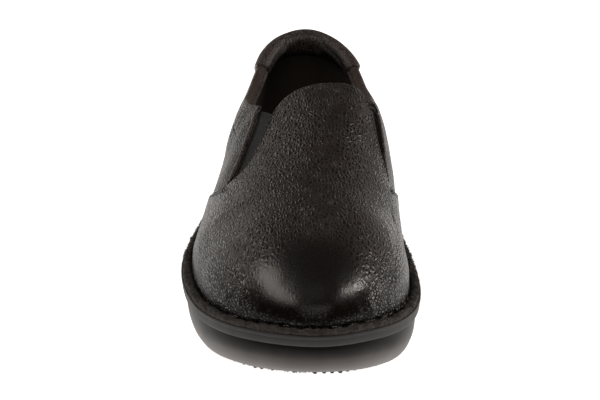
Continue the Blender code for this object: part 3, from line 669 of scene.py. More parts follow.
def wall_piece(name, outer, inner, materials, lined=None):
    """A closed wall between two grids of points. lined marks inner cells that have the second material."""
    rows, columns = outer.shape[:2]
    layer = rows * columns
    number = np.arange(layer).reshape(rows, columns)
    rim = np.concatenate([number[0], number[1:, -1], number[-1, -2::-1], number[-2::-1, 0]])
    a, b = rim[:-1], rim[1:]
    edge = np.column_stack([b, a, a + layer, b + layer])
    faces = np.vstack([grid_faces(rows, columns), grid_faces(rows, columns, layer, True), edge])
    piece = mesh_piece(name, np.concatenate([outer, inner]), faces.tolist(), materials)
    if lined is not None:
        cells = (rows - 1) * (columns - 1)
        slots = np.zeros(len(faces), np.int32)
        slots[cells : 2 * cells] = lined[:-1, :-1].ravel()
        piece.data.polygons.foreach_set("material_index", slots)
    return piece


def plate_piece(name, rings, material, sharp=30):
    """A solid from rings of plan stations: the first ring closes the top, the last one the underside."""
    count, around = np.shape(rings)[:2]
    faces = tube_faces(count, around, (1, 2, 3, 0))
    for k, turned in ((0, True), (count - 1, False)):
        for i in range(around // 2):
            face = [i, i + 1, (around - i - 1) % around, (around - i) % around]
            face = [k * around + v for v in dict.fromkeys(face)]
            faces.append(face[::-1] if turned else face)
    return mesh_piece(name, rings, faces, [material], sharp)


def ring(c, height, inset=0.0, ledge=0.0):
    """Points round the outline moved inwards, with height a function of x and y."""
    flat = PLAN.at(c, inset, ledge)
    return np.column_stack([flat, height(*flat.T)])


def dress(piece, slot, *nodes):
    """Let a piece ride on the shoe and stand for CAD nodes, which it hides; slot is not used."""
    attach(piece, BODY)
    if nodes:
        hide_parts(*nodes)
    return piece


# Node trees


def feed(tree, node, inputs):
    """Give a node's inputs values, or link them to outputs of other nodes."""
    for key, value in inputs.items():
        if isinstance(value, bpy.types.NodeSocket):
            tree.links.new(value, node.inputs[key])
        else:
            node.inputs[key].default_value = value


def add(tree, kind, inputs=None, out=0, **settings):
    """Add a node with its settings and inputs, and return one of its outputs if it has any."""
    made = tree.nodes.new(kind)
    for name, value in settings.items():
        setattr(made, name, value)
    feed(tree, made, inputs or {})
    return made.outputs[out] if len(made.outputs) else None


def new_tree(name, numbers, material):
    """A geometry node tree with a geometry input and output, and inputs for numbers and a material."""
    tree = bpy.data.node_groups.new(name, "GeometryNodeTree")
    floats = [(label, "Float") for label in numbers.split()]
    for label, kind in [("Geometry", "Geometry"), *floats, (material, "Material")]:
        tree.interface.new_socket(label, in_out="INPUT", socket_type="NodeSocket" + kind)
    tree.interface.new_socket("Geometry", in_out="OUTPUT", socket_type="NodeSocketGeometry")
    return tree, add(tree, "NodeGroupInput").node.outputs


def path_tree(name, numbers, material):
    """A tree for items along a path, its inputs, and where they go: a Spacing apart, flat on the surface."""
    tree, given = new_tree(name, numbers, material)
    path = add(tree, "GeometryNodeMeshToCurve", {"Mesh": given["Geometry"]})
    sampled = {"Curve": path, "Length": given["Spacing"]}
    spots = add(tree, "GeometryNodeResampleCurve", sampled, mode="LENGTH")
    facing = add(tree, "GeometryNodeInputNamedAttribute", {"Name": "facing"}, data_type="FLOAT_VECTOR")
    axes = {0: facing, 1: add(tree, "GeometryNodeInputTangent")}
    lie = add(tree, "FunctionNodeAxesToRotation", axes, primary_axis="Z", secondary_axis="X")
    return tree, given, {"Points": spots, "Rotation": lie}


def close_tree(tree, items, material):
    """Set the items, realise them, shade them smooth, give them their material and end the tree."""
    row = add(tree, "GeometryNodeInstanceOnPoints", items)
    solid = add(tree, "GeometryNodeRealizeInstances", {"Geometry": row})
    soft = add(tree, "GeometryNodeSetShadeSmooth", {"Geometry": solid})
    done = add(tree, "GeometryNodeSetMaterial", {"Geometry": soft, "Material": material})
    add(tree, "NodeGroupOutput", {"Geometry": done})
    return tree


def stitch_tree():
    """Stitches set end to end along a path, each lying flat on the surface it is sewn into."""
    tree, given, row = path_tree("stitch row", "Spacing Length Thickness", "Thread")
    bead = add(tree, "GeometryNodeMeshUVSphere", {"Segments": 8, "Rings": 6, "Radius": 0.5})
    thick = given["Thickness"]
    size = add(tree, "ShaderNodeCombineXYZ", {"X": given["Length"], "Y": thick, "Z": thick})
    return close_tree(tree, {**row, "Instance": bead, "Scale": size}, given["Thread"])


def nap_tree():
    """Short stray fibres that stand out of a raw surface every way."""
    tree, given = new_tree("raw nap", "Density Length Thickness", "Fibre")
    source = {"Mesh": given["Geometry"], "Density": given["Density"], "Seed": 7}
    spots = add(tree, "GeometryNodeDistributePointsOnFaces", source)
    lean = {0: (-1.15, -1.15, -3.14), 1: (1.15, 1.15, 3.14), "Seed": 11}
    turns = {
        0: spots.node.outputs["Rotation"],
        1: add(tree, "FunctionNodeRandomValue", lean, data_type="FLOAT_VECTOR"),
    }
    turned = add(tree, "FunctionNodeRotateRotation", turns, rotation_space="LOCAL")
    grown = add(tree, "FunctionNodeRandomValue", {2: 0.35, 3: 1.0, "Seed": 13}, 1, data_type="FLOAT")
    long = add(tree, "ShaderNodeMath", {0: given["Length"], 1: grown}, operation="MULTIPLY")
    thick = given["Thickness"]
    size = add(tree, "ShaderNodeCombineXYZ", {"X": thick, "Y": thick, "Z": long})
    shape = {"Vertices": 3, "Radius Top": 0.15, "Radius Bottom": 0.5, "Depth": 1.0}
    hair = add(tree, "GeometryNodeMeshCone", shape, fill_type="NONE")
    nap = {"Points": spots, "Instance": hair, "Rotation": turned, "Scale": size}
    return close_tree(tree, nap, given["Fibre"])


def stud_tree():
    """Small moulded studs spaced along a path on the tread."""
    tree, given, row = path_tree("tread studs", "Spacing Width Height", "Rubber")
    shape = {"Vertices": 10, "Side Segments": 2, "Radius Top": 0.36, "Radius Bottom": 0.5, "Depth": 1.0}
    stud = add(tree, "GeometryNodeMeshCone", shape)
    wide = given["Width"]
    size = add(tree, "ShaderNodeCombineXYZ", {"X": wide, "Y": wide, "Z": given["Height"]})
    worn = add(tree, "FunctionNodeRandomValue", {2: 0.35, 3: 1.3, "Seed": 17}, 1, data_type="FLOAT")
    scale = add(tree, "ShaderNodeVectorMath", {0: size, "Scale": worn}, operation="SCALE")
    return close_tree(tree, {**row, "Instance": stud, "Scale": scale}, given["Rubber"])


def path_carrier(paths, facings):
    """A mesh of open paths that carries which way the surface under each point faces."""
    points, edges = [], []
    for path in paths:
        edges.extend((len(points) + k, len(points) + k + 1) for k in range(len(path) - 1))
        points.extend(np.asarray(path).tolist())
    mesh = bpy.data.meshes.new("carrier")
    mesh.from_pydata(points, edges, [])
    field = mesh.attributes.new("facing", "FLOAT_VECTOR", "POINT")
    field.data.foreach_set("vector", np.concatenate(facings).astype(np.float32).ravel())
    return link("carrier", mesh)


def grow(name, carrier, tree, values, keep=False):
    """Run a node tree on a carrier and keep what it makes as a plain mesh object."""
    modifier = carrier.modifiers.new(tree.name, "NODES")
    modifier.node_group = tree
    for socket in tree.interface.items_tree:
        if socket.in_out == "INPUT" and socket.name in values:
            modifier[socket.identifier] = values[socket.name]
    evaluated = carrier.evaluated_get(bpy.context.evaluated_depsgraph_get())
    made = link(name, bpy.data.meshes.new_from_object(evaluated))
    made.data.name = name
    carrier.modifiers.remove(modifier)
    if not keep:
        bpy.data.objects.remove(carrier)
    return made


# Materials

SOFT_STEP = {"interpolation_type": "SMOOTHSTEP"}
# Near black painted into seam lines and grooves as their shade
SEAM_SHADE_BLACK = "#030202"


def linear(code):
    """Linear colour of an sRGB hex code."""
    parts = [int(code[i : i + 2], 16) / 255 for i in (1, 3, 5)]
    return (*(p / 12.92 if p <= 0.04045 else ((p + 0.055) / 1.055) ** 2.4 for p in parts), 1)


def new_material(name, **sockets):
    """A material with its shader's constant sockets set, its tree, shader and object coordinates."""
    material = bpy.data.materials.new(name)
    material.use_nodes = True
    tree = material.node_tree
    shader = tree.nodes["Principled BSDF"]
    for label, value in sockets.items():
        shader.inputs[label.replace("_", " ").title().replace("Ior", "IOR")].default_value = value
    return material, tree, shader, add(tree, "ShaderNodeTexCoord", out="Object")


def blend_colours(tree, factor, low, high):
    """A colour between two, each a hex code or an output."""
    low, high = (linear(colour) if isinstance(colour, str) else colour for colour in (low, high))
    return add(tree, "ShaderNodeMix", {0: factor, 6: low, 7: high}, 2, data_type="RGBA")


def pebbles(tree, place, size, squeeze):
    """Distance from the creases of a pebble pattern with cells that wide, squeezed along each axis."""
    turned = add(tree, "ShaderNodeMapping", {"Vector": place, "Scale": squeeze})
    cells = {"Vector": turned, "Scale": 1 / size}
    return add(tree, "ShaderNodeTexVoronoi", cells, "Distance", feature="DISTANCE_TO_EDGE")


def mottled(name, size, low, high, detail=2, bump=None, **sockets):
    """A material that drifts between two colours in patches that wide, with a bump of (strength, height)."""
    material, tree, shader, place = new_material(name, **sockets)
    patch = add(tree, "ShaderNodeTexNoise", {"Vector": place, "Scale": 1 / size, "Detail": detail})
    feed(tree, shader, {"Base Color": blend_colours(tree, patch, low, high)})
    if bump:
        rough = {"Strength": bump[0], "Distance": bump[1], "Height": patch}
        feed(tree, shader, {"Normal": add(tree, "ShaderNodeBump", rough)})
    return material


def tumbled_leather():
    """Drum-tumbled cowhide, black with a warm cast, lightly waxed.

    Pebbles about 1.6 mm wide and twice as long on the instep, and round on the flanks, each a smooth dark
    dome. The creases between them are duller, and their colour is painted light and shade: paler on
    the instep as a painted highlight of the crease walls, and dark on the flanks as painted shade, where
    they also lose most of their reflection. Where the hide is pulled tight over the toe they flatten out
    and the wax shows. It pales along the top line, partly wear from rubbing and partly painted sheen, and
    reflects less where it is dull. Seam lines and grooves are painted near black as their shade.
    """
    material, tree, shader, place = new_material("tumbled leather", coat_weight=0.04, coat_roughness=0.25)
    slack, flank, seam_shade, rub_and_sheen, dull = (
        add(tree, "ShaderNodeAttribute", out="Fac", attribute_name=name)
        for name in ("slack", "flank", "seam", "rub_and_sheen", "dull")
    )
    drift = add(tree, "ShaderNodeTexNoise", {"Vector": place, "Scale": 1 / (6 * MM), "Detail": 2})
    stray = {0: drift.node.outputs["Color"], 1: (1.6 * MM,) * 3}
    moved = add(tree, "ShaderNodeVectorMath", stray, operation="MULTIPLY")
    pulled = add(tree, "ShaderNodeVectorMath", {0: place, 1: moved}, operation="ADD")
    long = pebbles(tree, pulled, 1.6 * MM, (1, 0.42, 0.7))
    short = pebbles(tree, pulled, 1.6 * MM, (0.85, 0.8, 1))
    patchy = add(tree, "ShaderNodeMath", {0: drift, 1: 0.5, 2: flank}, operation="MULTIPLY_ADD")
    change = {"Value": patchy, "From Min": 0.65, "From Max": 0.85}
    which = add(tree, "ShaderNodeMapRange", change, **SOFT_STEP)
    pebble = add(tree, "ShaderNodeMix", {0: which, 2: long, 3: short}, data_type="FLOAT")
    wall = add(tree, "ShaderNodeMapRange", {"Value": pebble, "From Max": 0.11}, **SOFT_STEP)
    dome = add(tree, "ShaderNodeMapRange", {"Value": pebble, "From Max": 0.42}, **SOFT_STEP)
    broad = add(tree, "ShaderNodeTexNoise", {"Vector": place, "Scale": 1 / (9 * MM), "Detail": 3})
    uneven = {"Value": broad, "From Min": 0.3, "From Max": 0.7, "To Min": 0.6}
    depth = add(tree, "ShaderNodeMapRange", uneven)
    loose = add(tree, "ShaderNodeMath", {0: slack, 1: depth}, operation="MULTIPLY")
    bump = add(tree, "ShaderNodeBump", {"Strength": loose, "Distance": 0.33 * MM, "Height": dome})
    low = add(tree, "ShaderNodeMath", {0: 1.0, 1: wall}, operation="SUBTRACT")
    crease = add(tree, "ShaderNodeMath", {0: low, 1: loose}, operation="MULTIPLY")
    # Painted light and shade in the creases: a paler colour on the instep stands for the crease walls
    # catching light, a near black one on the flanks for shade
    crease_highlight_and_shade = blend_colours(tree, flank, "#3f352e", "#040302")
    colour = blend_colours(tree, crease, "#100b09", crease_highlight_and_shade)
    # Paler along the top line: partly wear from rubbing, partly a painted sheen of light from above
    worn_and_sheen_colour = blend_colours(tree, rub_and_sheen, colour, "#4c423d")
    waxed = add(tree, "ShaderNodeMapRange", {"Value": slack, "To Min": 0.26, "To Max": 0.32})
    gloss = add(tree, "ShaderNodeMapRange", {"Value": crease, "To Min": waxed, "To Max": 0.55})
    sunk = {"Value": pebble, "From Max": 0.45, "To Min": 1.0, "To Max": 0.0}
    hollow = add(tree, "ShaderNodeMapRange", sunk)
    # Painted shade: on the flanks the creases lose most of their reflection
    flank_crease_shade = add(tree, "ShaderNodeMath", {0: hollow, 1: flank}, operation="MULTIPLY")
    matt = add(tree, "ShaderNodeMath", {0: flank_crease_shade, 1: dull}, operation="MAXIMUM")
    sheen = add(tree, "ShaderNodeMapRange", {"Value": matt, "To Min": 0.62, "To Max": 0.02})
    # Painted shade: seam lines and grooves go near black
    shade = blend_colours(tree, seam_shade, worn_and_sheen_colour, SEAM_SHADE_BLACK)
    looks = {"Base Color": shade, "Specular IOR Level": sheen, "Roughness": gloss, "Normal": bump}
    feed(tree, shader, looks)
    return material


def collar_leather():
    """Softer, finer leather of the cuff, piping and folds: small shallow grain and a low sheen."""
    material, tree, shader, place = new_material("soft collar leather", roughness=0.46)
    seam_shade = add(tree, "ShaderNodeAttribute", out="Fac", attribute_name="seam")
    fine = pebbles(tree, place, 1.5 * MM, (1, 1, 1))
    folds = add(tree, "ShaderNodeTexNoise", {"Vector": place, "Scale": 1 / (6 * MM), "Detail": 4})
    height = add(tree, "ShaderNodeMath", {0: folds, 1: 2.0, 2: fine}, operation="MULTIPLY_ADD")
    bump = add(tree, "ShaderNodeBump", {"Strength": 0.8, "Distance": 0.4 * MM, "Height": height})
    tone = blend_colours(tree, folds, "#3c322f", "#6c605b")
    # Painted shade: the creases between the pebbles are painted near black, the pebbles' tops take the tone
    crown = add(tree, "ShaderNodeMapRange", {"Value": fine, "From Max": 0.22}, **SOFT_STEP)
    colour = blend_colours(tree, crown, "#120d0b", tone)
    # Painted shade: seam lines and grooves go near black
    feed(tree, shader, {"Normal": bump, "Base Color": blend_colours(tree, seam_shade, colour, SEAM_SHADE_BLACK)})
    return material


def footbed_leather():
    """Smooth dark footbed cover over foam, dull, with broad patches of paler and darker tone."""
    material, tree, shader, place = new_material("footbed leather", roughness=0.7)
    wear = add(tree, "ShaderNodeTexNoise", {"Vector": place, "Scale": 1 / (30 * MM), "Detail": 3})
    cells = {"Vector": place, "Scale": 1 / (1.1 * MM)}
    pores = add(tree, "ShaderNodeTexVoronoi", cells, "Distance", feature="SMOOTH_F1")
    bump = add(tree, "ShaderNodeBump", {"Strength": 0.4, "Distance": 0.1 * MM, "Height": pores})
    feed(tree, shader, {"Base Color": blend_colours(tree, wear, "#15110f", "#2a2420"), "Normal": bump})
    return material


def elastic_webbing():
    """Woven elastic gore: matt black, with soft ribs about 7 mm apart up the gore and picks half as far."""
    material, tree, shader, _ = new_material("elastic webbing", roughness=0.85, sheen_weight=0.05)
    weave = add(tree, "ShaderNodeUVMap", uv_map="weave")
    turn = 20  # radians that a wave texture of scale 1 goes through in each unit, here a millimetre
    rib_scale, pick_scale = ({"Vector": weave, "Scale": 1 / (mm * turn)} for mm in (1.1, 0.55))
    ribs = add(tree, "ShaderNodeTexWave", rib_scale, "Fac", bands_direction="X")
    picks = add(tree, "ShaderNodeTexWave", pick_scale, "Fac", bands_direction="Y")
    height = add(tree, "ShaderNodeMath", {0: picks, 1: 0.35, 2: ribs}, operation="MULTIPLY_ADD")
    bump = add(tree, "ShaderNodeBump", {"Strength": 0.6, "Distance": 0.12 * MM, "Height": height})
    feed(tree, shader, {"Base Color": blend_colours(tree, ribs, "#060505", "#0f0e0d"), "Normal": bump})
    return material


def raw_welt():
    """Raw edge of a napped leather welt: dull, crumbly and uneven, with paler fibres broken out of it."""
    material, tree, shader, place = new_material("raw welt", roughness=0.95, sheen_weight=0.2)
    lumps = {"Vector": place, "Scale": 1 / (1.4 * MM), "Detail": 6, "Roughness": 0.7}
    crumb = add(tree, "ShaderNodeTexNoise", lumps)
    spread = add(tree, "ShaderNodeMapRange", {"Value": crumb, "From Min": 0.35, "From Max": 0.7})
    bump = add(tree, "ShaderNodeBump", {"Strength": 1.0, "Distance": 0.5 * MM, "Height": crumb})
    feed(tree, shader, {"Base Color": blend_colours(tree, spread, "#0f0c0b", "#4a413b"), "Normal": bump})
    return material


def rim_rubber():
    """Moulded rubber midsole rim: matt charcoal with a fine mould bloom."""
    material, tree, shader, place = new_material("moulded rim rubber")
    bloom = add(tree, "ShaderNodeTexNoise", {"Vector": place, "Scale": 1 / (7 * MM), "Detail": 5})
    grit = add(tree, "ShaderNodeTexNoise", {"Vector": place, "Scale": 1 / (0.6 * MM), "Detail": 3})
    dull = add(tree, "ShaderNodeMapRange", {"Value": bloom, "To Min": 0.48, "To Max": 0.72})
    bump = add(tree, "ShaderNodeBump", {"Strength": 0.35, "Distance": 0.08 * MM, "Height": grit})
    colour = blend_colours(tree, bloom, "#100d0c", "#1e1a19")
    feed(tree, shader, {"Base Color": colour, "Roughness": dull, "Normal": bump})
    return material


def outsole_rubber():
    """Smooth moulded outsole, satin brown-black with pale dust specks: painted shade darkens it under the
    rim, and it is painted paler towards the tread.
    """
    material, tree, shader, place = new_material("moulded outsole rubber")
    height = add(tree, "ShaderNodeAttribute", out="Fac", attribute_name="height")
    bloom = add(tree, "ShaderNodeTexNoise", {"Vector": place, "Scale": 1 / (18 * MM), "Detail": 4})
    skin = add(tree, "ShaderNodeTexNoise", {"Vector": place, "Scale": 1 / (1.2 * MM), "Detail": 2})
    # Painted shade and light: darker and less reflective towards the rim, paler and more reflective towards
    # the tread; the specks are dust
    uneven = add(tree, "ShaderNodeMath", {0: bloom, 1: 0.3, 2: height}, operation="MULTIPLY_ADD")
    rise = {"Value": uneven, "From Min": 0.2, "From Max": 0.95}
    rim_shade = add(tree, "ShaderNodeMapRange", rise, **SOFT_STEP)
    grains = add(tree, "ShaderNodeTexVoronoi", {"Vector": place, "Scale": 1 / (8 * MM)}, "Distance")
    dots = {"Value": grains, "From Min": 0.03, "From Max": 0.05, "To Min": 0.5, "To Max": 0.0}
    speck = add(tree, "ShaderNodeMapRange", dots)
    colour = blend_colours(tree, rim_shade, "#372f2b", "#080606")
    specked_and_shaded = blend_colours(tree, speck, colour, "#8a817a")
    gloss = add(tree, "ShaderNodeMapRange", {"Value": rim_shade, "To Min": 0.5, "To Max": 0.12})
    dull = add(tree, "ShaderNodeMapRange", {"Value": bloom, "To Min": 0.36, "To Max": 0.5})
    bump = add(tree, "ShaderNodeBump", {"Strength": 0.15, "Distance": 0.08 * MM, "Height": skin})
    feed(tree, shader, {"Base Color": specked_and_shaded, "Specular IOR Level": gloss, "Roughness": dull, "Normal": bump})
    return material


# Pieces of the sole


def make_outsole(rubber):
    """Smooth side wall and grooved tread."""
    c = PLAN.stations()
    insets, shares = column(OUTSOLE_WALL, 0)[::-1], column(OUTSOLE_WALL, 1)[::-1] / MM
    rings = []
    for turn in between(0, 1, OUTSOLE_RINGS):
        share = 1 - math.sin(turn * math.pi / 2)

        def height(x, y, share=share):
            return tread_height(x, y) + share * (rim_under(y) - GAP - tread_height(x, y))

        rings.append(ring(c, height, float(smooth(shares, insets, share))))
    body = plate_piece("outsole_body", rings, rubber)
    cutter = make_groove_cutter()
    cut = body.modifiers.new("tread grooves", "BOOLEAN")
    cut.operation = "DIFFERENCE"
    cut.solver = "EXACT"
    cut.object = cutter
    evaluated = body.evaluated_get(bpy.context.evaluated_depsgraph_get())
    made = link("moulded_outsole", bpy.data.meshes.new_from_object(evaluated))
    made.data.set_sharp_from_angle(angle=math.radians(30))
    x, y, z = np.array([vertex.co for vertex in made.data.vertices]).T
    # Share of the way up from the tread to the rim, which the rubber reads for its painted shade
    put_field(made, "height", (z - tread_height(x, y)) / (rim_under(y) - tread_height(x, y)))
    for spent in (body, cutter):
        bpy.data.objects.remove(spent)
    return dress(made, "outsole rubber", "outsole")


def groove_stations():
    """Distances from the toe of the tread's cross grooves, on the two flat spots."""
    level = [row[0] * MM for row in SOLE_PROFILE if row[1] == 0]
    forefoot = [a for a in level if a < LENGTH / 2]
    heel = [a for a in level if a > LENGTH / 2]
    found = []
    for start, end in ((forefoot[0], forefoot[-1]), (heel[0], heel[-1])):
        count = int((end - start - TREAD_BOW) // TREAD_PITCH)
        first = start + TREAD_BOW + (end - start - TREAD_BOW - count * TREAD_PITCH) / 2
        found.extend(first + k * TREAD_PITCH for k in range(count + 1))
    return found


def make_groove_cutter():
    """Bowed bars that cut the tread, in one mesh."""
    across = between(-BALL_WIDTH * 0.6, BALL_WIDTH * 0.6, 24)
    bow = TREAD_BOW * (1 - (across / across[-1]) ** 2)
    points, faces = [], []
    for along in groove_stations():
        start = len(points)
        for x, middle in zip(across, y_of(along) - bow):
            for side, z in ((-1, -TREAD_DEPTH), (1, -TREAD_DEPTH), (1, TREAD_DEPTH), (-1, TREAD_DEPTH)):
                points.append((x, middle + side * TREAD_GROOVE / 2, z))
        last = 4 * (len(across) - 1)
        bar = tube_faces(len(across), 4, (1, 2, 3, 0)) + [[3, 2, 1, 0], [last + m for m in range(4)]]
        faces.extend([start + v for v in face] for face in bar)
    return mesh_piece("groove_cutter", points, faces)


def make_studs(rubber):
    """Rows of small studs on the tread where it lifts round the toe."""
    paths, facings = [], []
    for inset in STUD_INSETS:
        path = ring(np.linspace(-0.12, 0.12, 160), tread_height, inset * MM)
        path = path[path[:, 2] > 1.2 * MM]
        paths.append(path + np.array([0, 0, 0.1 * MM]))
        facings.append(np.tile([0.0, 0.0, -1.0], (len(path), 1)))
    values = {"Spacing": 4.3 * MM, "Width": 1.7 * MM, "Height": 0.45 * MM, "Rubber": rubber}
    return dress(grow("tread_studs", path_carrier(paths, facings), stud_tree(), values), "outsole rubber")


def make_rim(rubber):
    """Midsole rim with its moulded lip and parting line."""
    c = PLAN.stations()
    rings = [
        ring(c, lambda x, y, share=share: rim_under(y) + share * RIM_THICK, inset * MM)
        for inset, share in reversed(RIM_EDGE)
    ]
    return dress(plate_piece("midsole_rim", rings, rubber, 35), "midsole rubber", "midsole")


def make_welt(raw, fibre):
    """Rough strip on the rim's ledge, uneven all along, and the fibres that stand out of it."""
    c = between(0, 1, 760)[:-1]
    crevice = VAMP_STEP + WELT_CREVICE
    turns = between(0, 1, 14)
    out = 0.5 - 0.5 * np.cos(np.pi * turns)
    up = np.sin(np.pi * turns) ** 0.45
    rings = []
    for share, rise in zip(out, up):
        inset = WELT_MARGIN * share - crevice * (1 - share)
        rings.append(ring(c, lambda x, y, rise=rise: rim_top(y) + rise * WELT_HEIGHT, inset, 1 - share))
    points = np.array(rings)
    lumps = 0.55 * ripple(points, 4 * MM, 3) + 0.45 * ripple(points, 1.5 * MM, 4)
    weight = up[:, None] * MM
    lump_rise, lump_out, sunk = 0.62, 0.5, 0.2
    points[:, :, 2] += lump_rise * lumps * weight - sunk * weight
    flat = PLAN.inward[np.searchsorted(PLAN.c, c)]
    outward = lump_out * ripple(points, 2.2 * MM, 5) * weight - sunk * weight
    points[:, :, :2] -= flat[None] * outward[:, :, None]
    faces = tube_faces(*points.shape[:2], (0, 1, 2, 3), closed=True)
    welt = mesh_piece("raw_welt", points, faces, [raw])
    values = {"Density": 2.6 / MM**2, "Length": 1.3 * MM, "Thickness": 0.17 * MM, "Fibre": fibre}
    dress(grow("welt_nap", welt, nap_tree(), values, keep=True), "welt")
    return dress(welt, "welt", "welt")


def make_thread_ends(thread):
    """Short pale ends of the sewing thread that show in the welt, most on the medial toe."""
    paths, facings = [], []
    for c, length in WELT_THREADS:
        place = c + np.array([0, length * MM / ROUND])
        paths.append(ring(place, lambda x, y: rim_top(y) + WELT_HEIGHT + 0.1 * MM, 0.0, 0.75))
        facings.append(np.tile([0.0, 0.0, 1.0], (2, 1)))
    values = {"Spacing": 1.2 * MM, "Length": 1.3 * MM, "Thickness": 0.32 * MM, "Thread": thread}
    return dress(grow("welt_thread_ends", path_carrier(paths, facings), stitch_tree(), values), "welt")


def make_footbed(leather):
    """Cupped footbed inside the upper."""
    c = PLAN.stations()
    edge = LEATHER + 2 * GAP
    thick, cup = INSOLE_THICK / MM, INSOLE_CUP / MM
    profile = (
        # extra inset and height above the midsole in mm
        (20, thick),
        (13, thick),
        (9, thick + 0.35),
        (6, thick + 0.35 * cup),
        (3.6, thick + 0.85 * cup),
        (2.4, thick + cup),
        (1.5, thick + 0.8 * cup),
        (0.8, thick + 0.3 * cup),
        (0.6, 1.3),
        (1.0, 0.3),
    )
    rings = [
        ring(c, lambda x, y, up=up: rim_top(y) + up * MM, edge + inset * MM, 1) for inset, up in profile
    ]
    return dress(plate_piece("footbed", rings, leather, 60), "footbed cover", "insole")


# Pieces of the upper


def wrinkle_depth(points):
    """How far the listed troughs pull points in."""
    depth = np.zeros(points.shape[:-1])
    share = between(0, 1, 24)
    for side, along0, z0, along1, z1, width, most in WRINKLES:
        c = PLAN.place(y_of(between(along0, along1, 24) * MM), side, 1)
        z = (z0 + (z1 - z0) * share + 1.6 * np.sin(3 * np.pi * share)) * MM
        path = SHOE_LAST.at(c, SHOE_LAST.reach_of(c, z))
        near = np.full(points.shape[:-1], np.inf)
        taper = np.zeros(points.shape[:-1])
        for spot, full in zip(path, np.sin(np.pi * share) ** 0.7):
            away = ((points - spot) ** 2).sum(-1)
            taper = np.where(away < near, full, taper)
            near = np.minimum(near, away)
        depth += most * MM * taper * np.exp(-near / (width * MM) ** 2)
    return depth


def puckers(panel):
    """Small pulls in the leather just above the welt, deepest at the medial toe."""
    rise = panel.grid[:, :, 2] - panel.grid[:1, :, 2]
    pull = ripple(panel.grid * np.array([1, 1, 0.25]), 4.5 * MM, 21)
    medial_toe = ease(panel.grid[:, :, 0] / (20 * MM)) * ease((-70 * MM - panel.grid[:, :, 1]) / (30 * MM))
    return (0.14 + 0.16 * medial_toe) * MM * pull * np.exp(-rise / (9 * MM)) * ease(rise / (1.5 * MM))


def slack_of(points):
    """How loose the hide is: tight over the crown of the toe, and loose on the instep and flanks."""
    away = np.linalg.norm(points - np.array(TOE_CROWN) * MM, axis=2)
    return 0.08 + 0.92 * ease((away - TIGHT_REACH[0]) / TIGHT_REACH[1])


def panel_piece(name, panel, outer, inner, seed, materials, lined):
    """A panel's wall between two offsets from the last, creased, and marked where it is loose and steep."""
    wave = HIDE_WAVE * ripple(panel.grid, HIDE_WAVE_WIDTH, seed)
    shape = puckers(panel) - wrinkle_depth(panel.grid) + wave
    outside = panel.face(outer + shape * ease(panel.below / (6 * MM)))
    inside = panel.face(np.broadcast_to(inner, panel.below.shape))
    piece = wall_piece(name, outside, inside, materials, lined)
    slack, steep = slack_of(panel.grid), 1 - ease((panel.normal[:, :, 2] - 0.45) / 0.4)
    put_field(piece, "slack", slack, slack)
    put_field(piece, "flank", steep, steep)
    return piece


def make_vamp(panel, leather, lining):
    """Vamp with its wings, rounded where it is cut and folded."""
    middle, half = (VAMP_STEP - LEATHER) / 2, (VAMP_STEP + LEATHER) / 2
    outer, inner = middle + half * panel.rounding, middle - half * panel.rounding
    past_edge = np.abs(1 - np.abs(panel.turn)) / TURN_PER_MM * MM / LAP_ROUND
    lap = np.sqrt(1 - np.clip(1 - past_edge, 0, 1) ** 2)[None, :]
    outer = np.where(panel.rounding == 1, np.minimum(outer, VAMP_STEP * lap), outer)
    piece = panel_piece("vamp", panel, outer, inner, 31, (leather, lining), panel.below > 4 * MM)
    # Painted shade: a dark line along the vamp's cut edges where they lap the quarters
    edge = bell(np.abs(panel.turn), 1, 0.003)[None, :] * (panel.below > 1 * MM)
    put_field(piece, "seam", 0.7 * edge, 0 * edge)
    return dress(piece, "upper leather", "upper")


def collar_front(panel):
    """0 at the gores and 1 where the collar has its full padding."""
    gone = travel(panel.grid[-1])
    from_gore = np.minimum(gone, gone[-1] - gone)
    return ease((from_gore - 2 * GORE_LAP) / COLLAR_PAD_FRONT)[None, :]


def quarter_offsets(panel):
    """Offsets of the quarters' outer and inner faces from the last, and how deep the collar's groove is."""
    front = collar_front(panel)
    share = np.clip(panel.below / COLLAR_PAD_DEPTH, 0, 1)
    depth = LEATHER + (COLLAR_PAD - LEATHER) * ease(1 - share) * front
    middle, half = -depth / 2, depth / 2
    outer, inner = middle + half * panel.rounding, middle - half * panel.rounding
    swell = COLLAR_SWELL * np.sin(np.pi * share) ** 0.8 * front
    groove = COLLAR_GROOVE * bell(panel.below, COLLAR_PAD_DEPTH, 0.9 * MM) * front**3
    return outer + swell - groove, inner, groove / COLLAR_GROOVE


def make_quarters(panel, leather, lining):
    """Quarters and heel with the padded collar."""
    outer, inner, groove = quarter_offsets(panel)
    hidden = (np.abs(panel.turn) ** 14)[None, :] * (np.arange(len(panel.grid)) <= LOWER_ROWS)[:, None]
    inner = inner + 0.4 * MM * hidden
    lined = panel.below > COLLAR_FACING
    piece = panel_piece("quarters", panel, outer, inner, 32, (leather, lining), lined)
    # Painted shade: the groove under the collar's padding is painted dark outside, and a thin dark line is
    # painted just inside the top line
    put_field(piece, "seam", 0.6 * groove, 0.8 * bell(panel.below, 1.5 * MM, 0.5 * MM))
    front = collar_front(panel)
    # Paler band along the top line: wear from rubbing together with painted sheen
    rubbed_and_sheen = bell(panel.below, 0, 5 * MM) * (0.3 + 0.6 * front)
    put_field(piece, "rub_and_sheen", rubbed_and_sheen, rubbed_and_sheen)
    dull = np.broadcast_to(0.86 - 0.44 * front, panel.below.shape)
    put_field(piece, "dull", dull, dull)
    return dress(piece, "upper leather")


def quarter_edge(panel, side):
    """Rows of the quarter's edge along one gore, from the gore's foot to the top line, as (c, r)."""
    column_at = -1 if side == "lateral" else 0
    rows = slice(LOWER_ROWS, LOWER_ROWS + UPPER_ROWS + 1)
    return np.column_stack([panel.c[rows, column_at], panel.r[rows, column_at]])


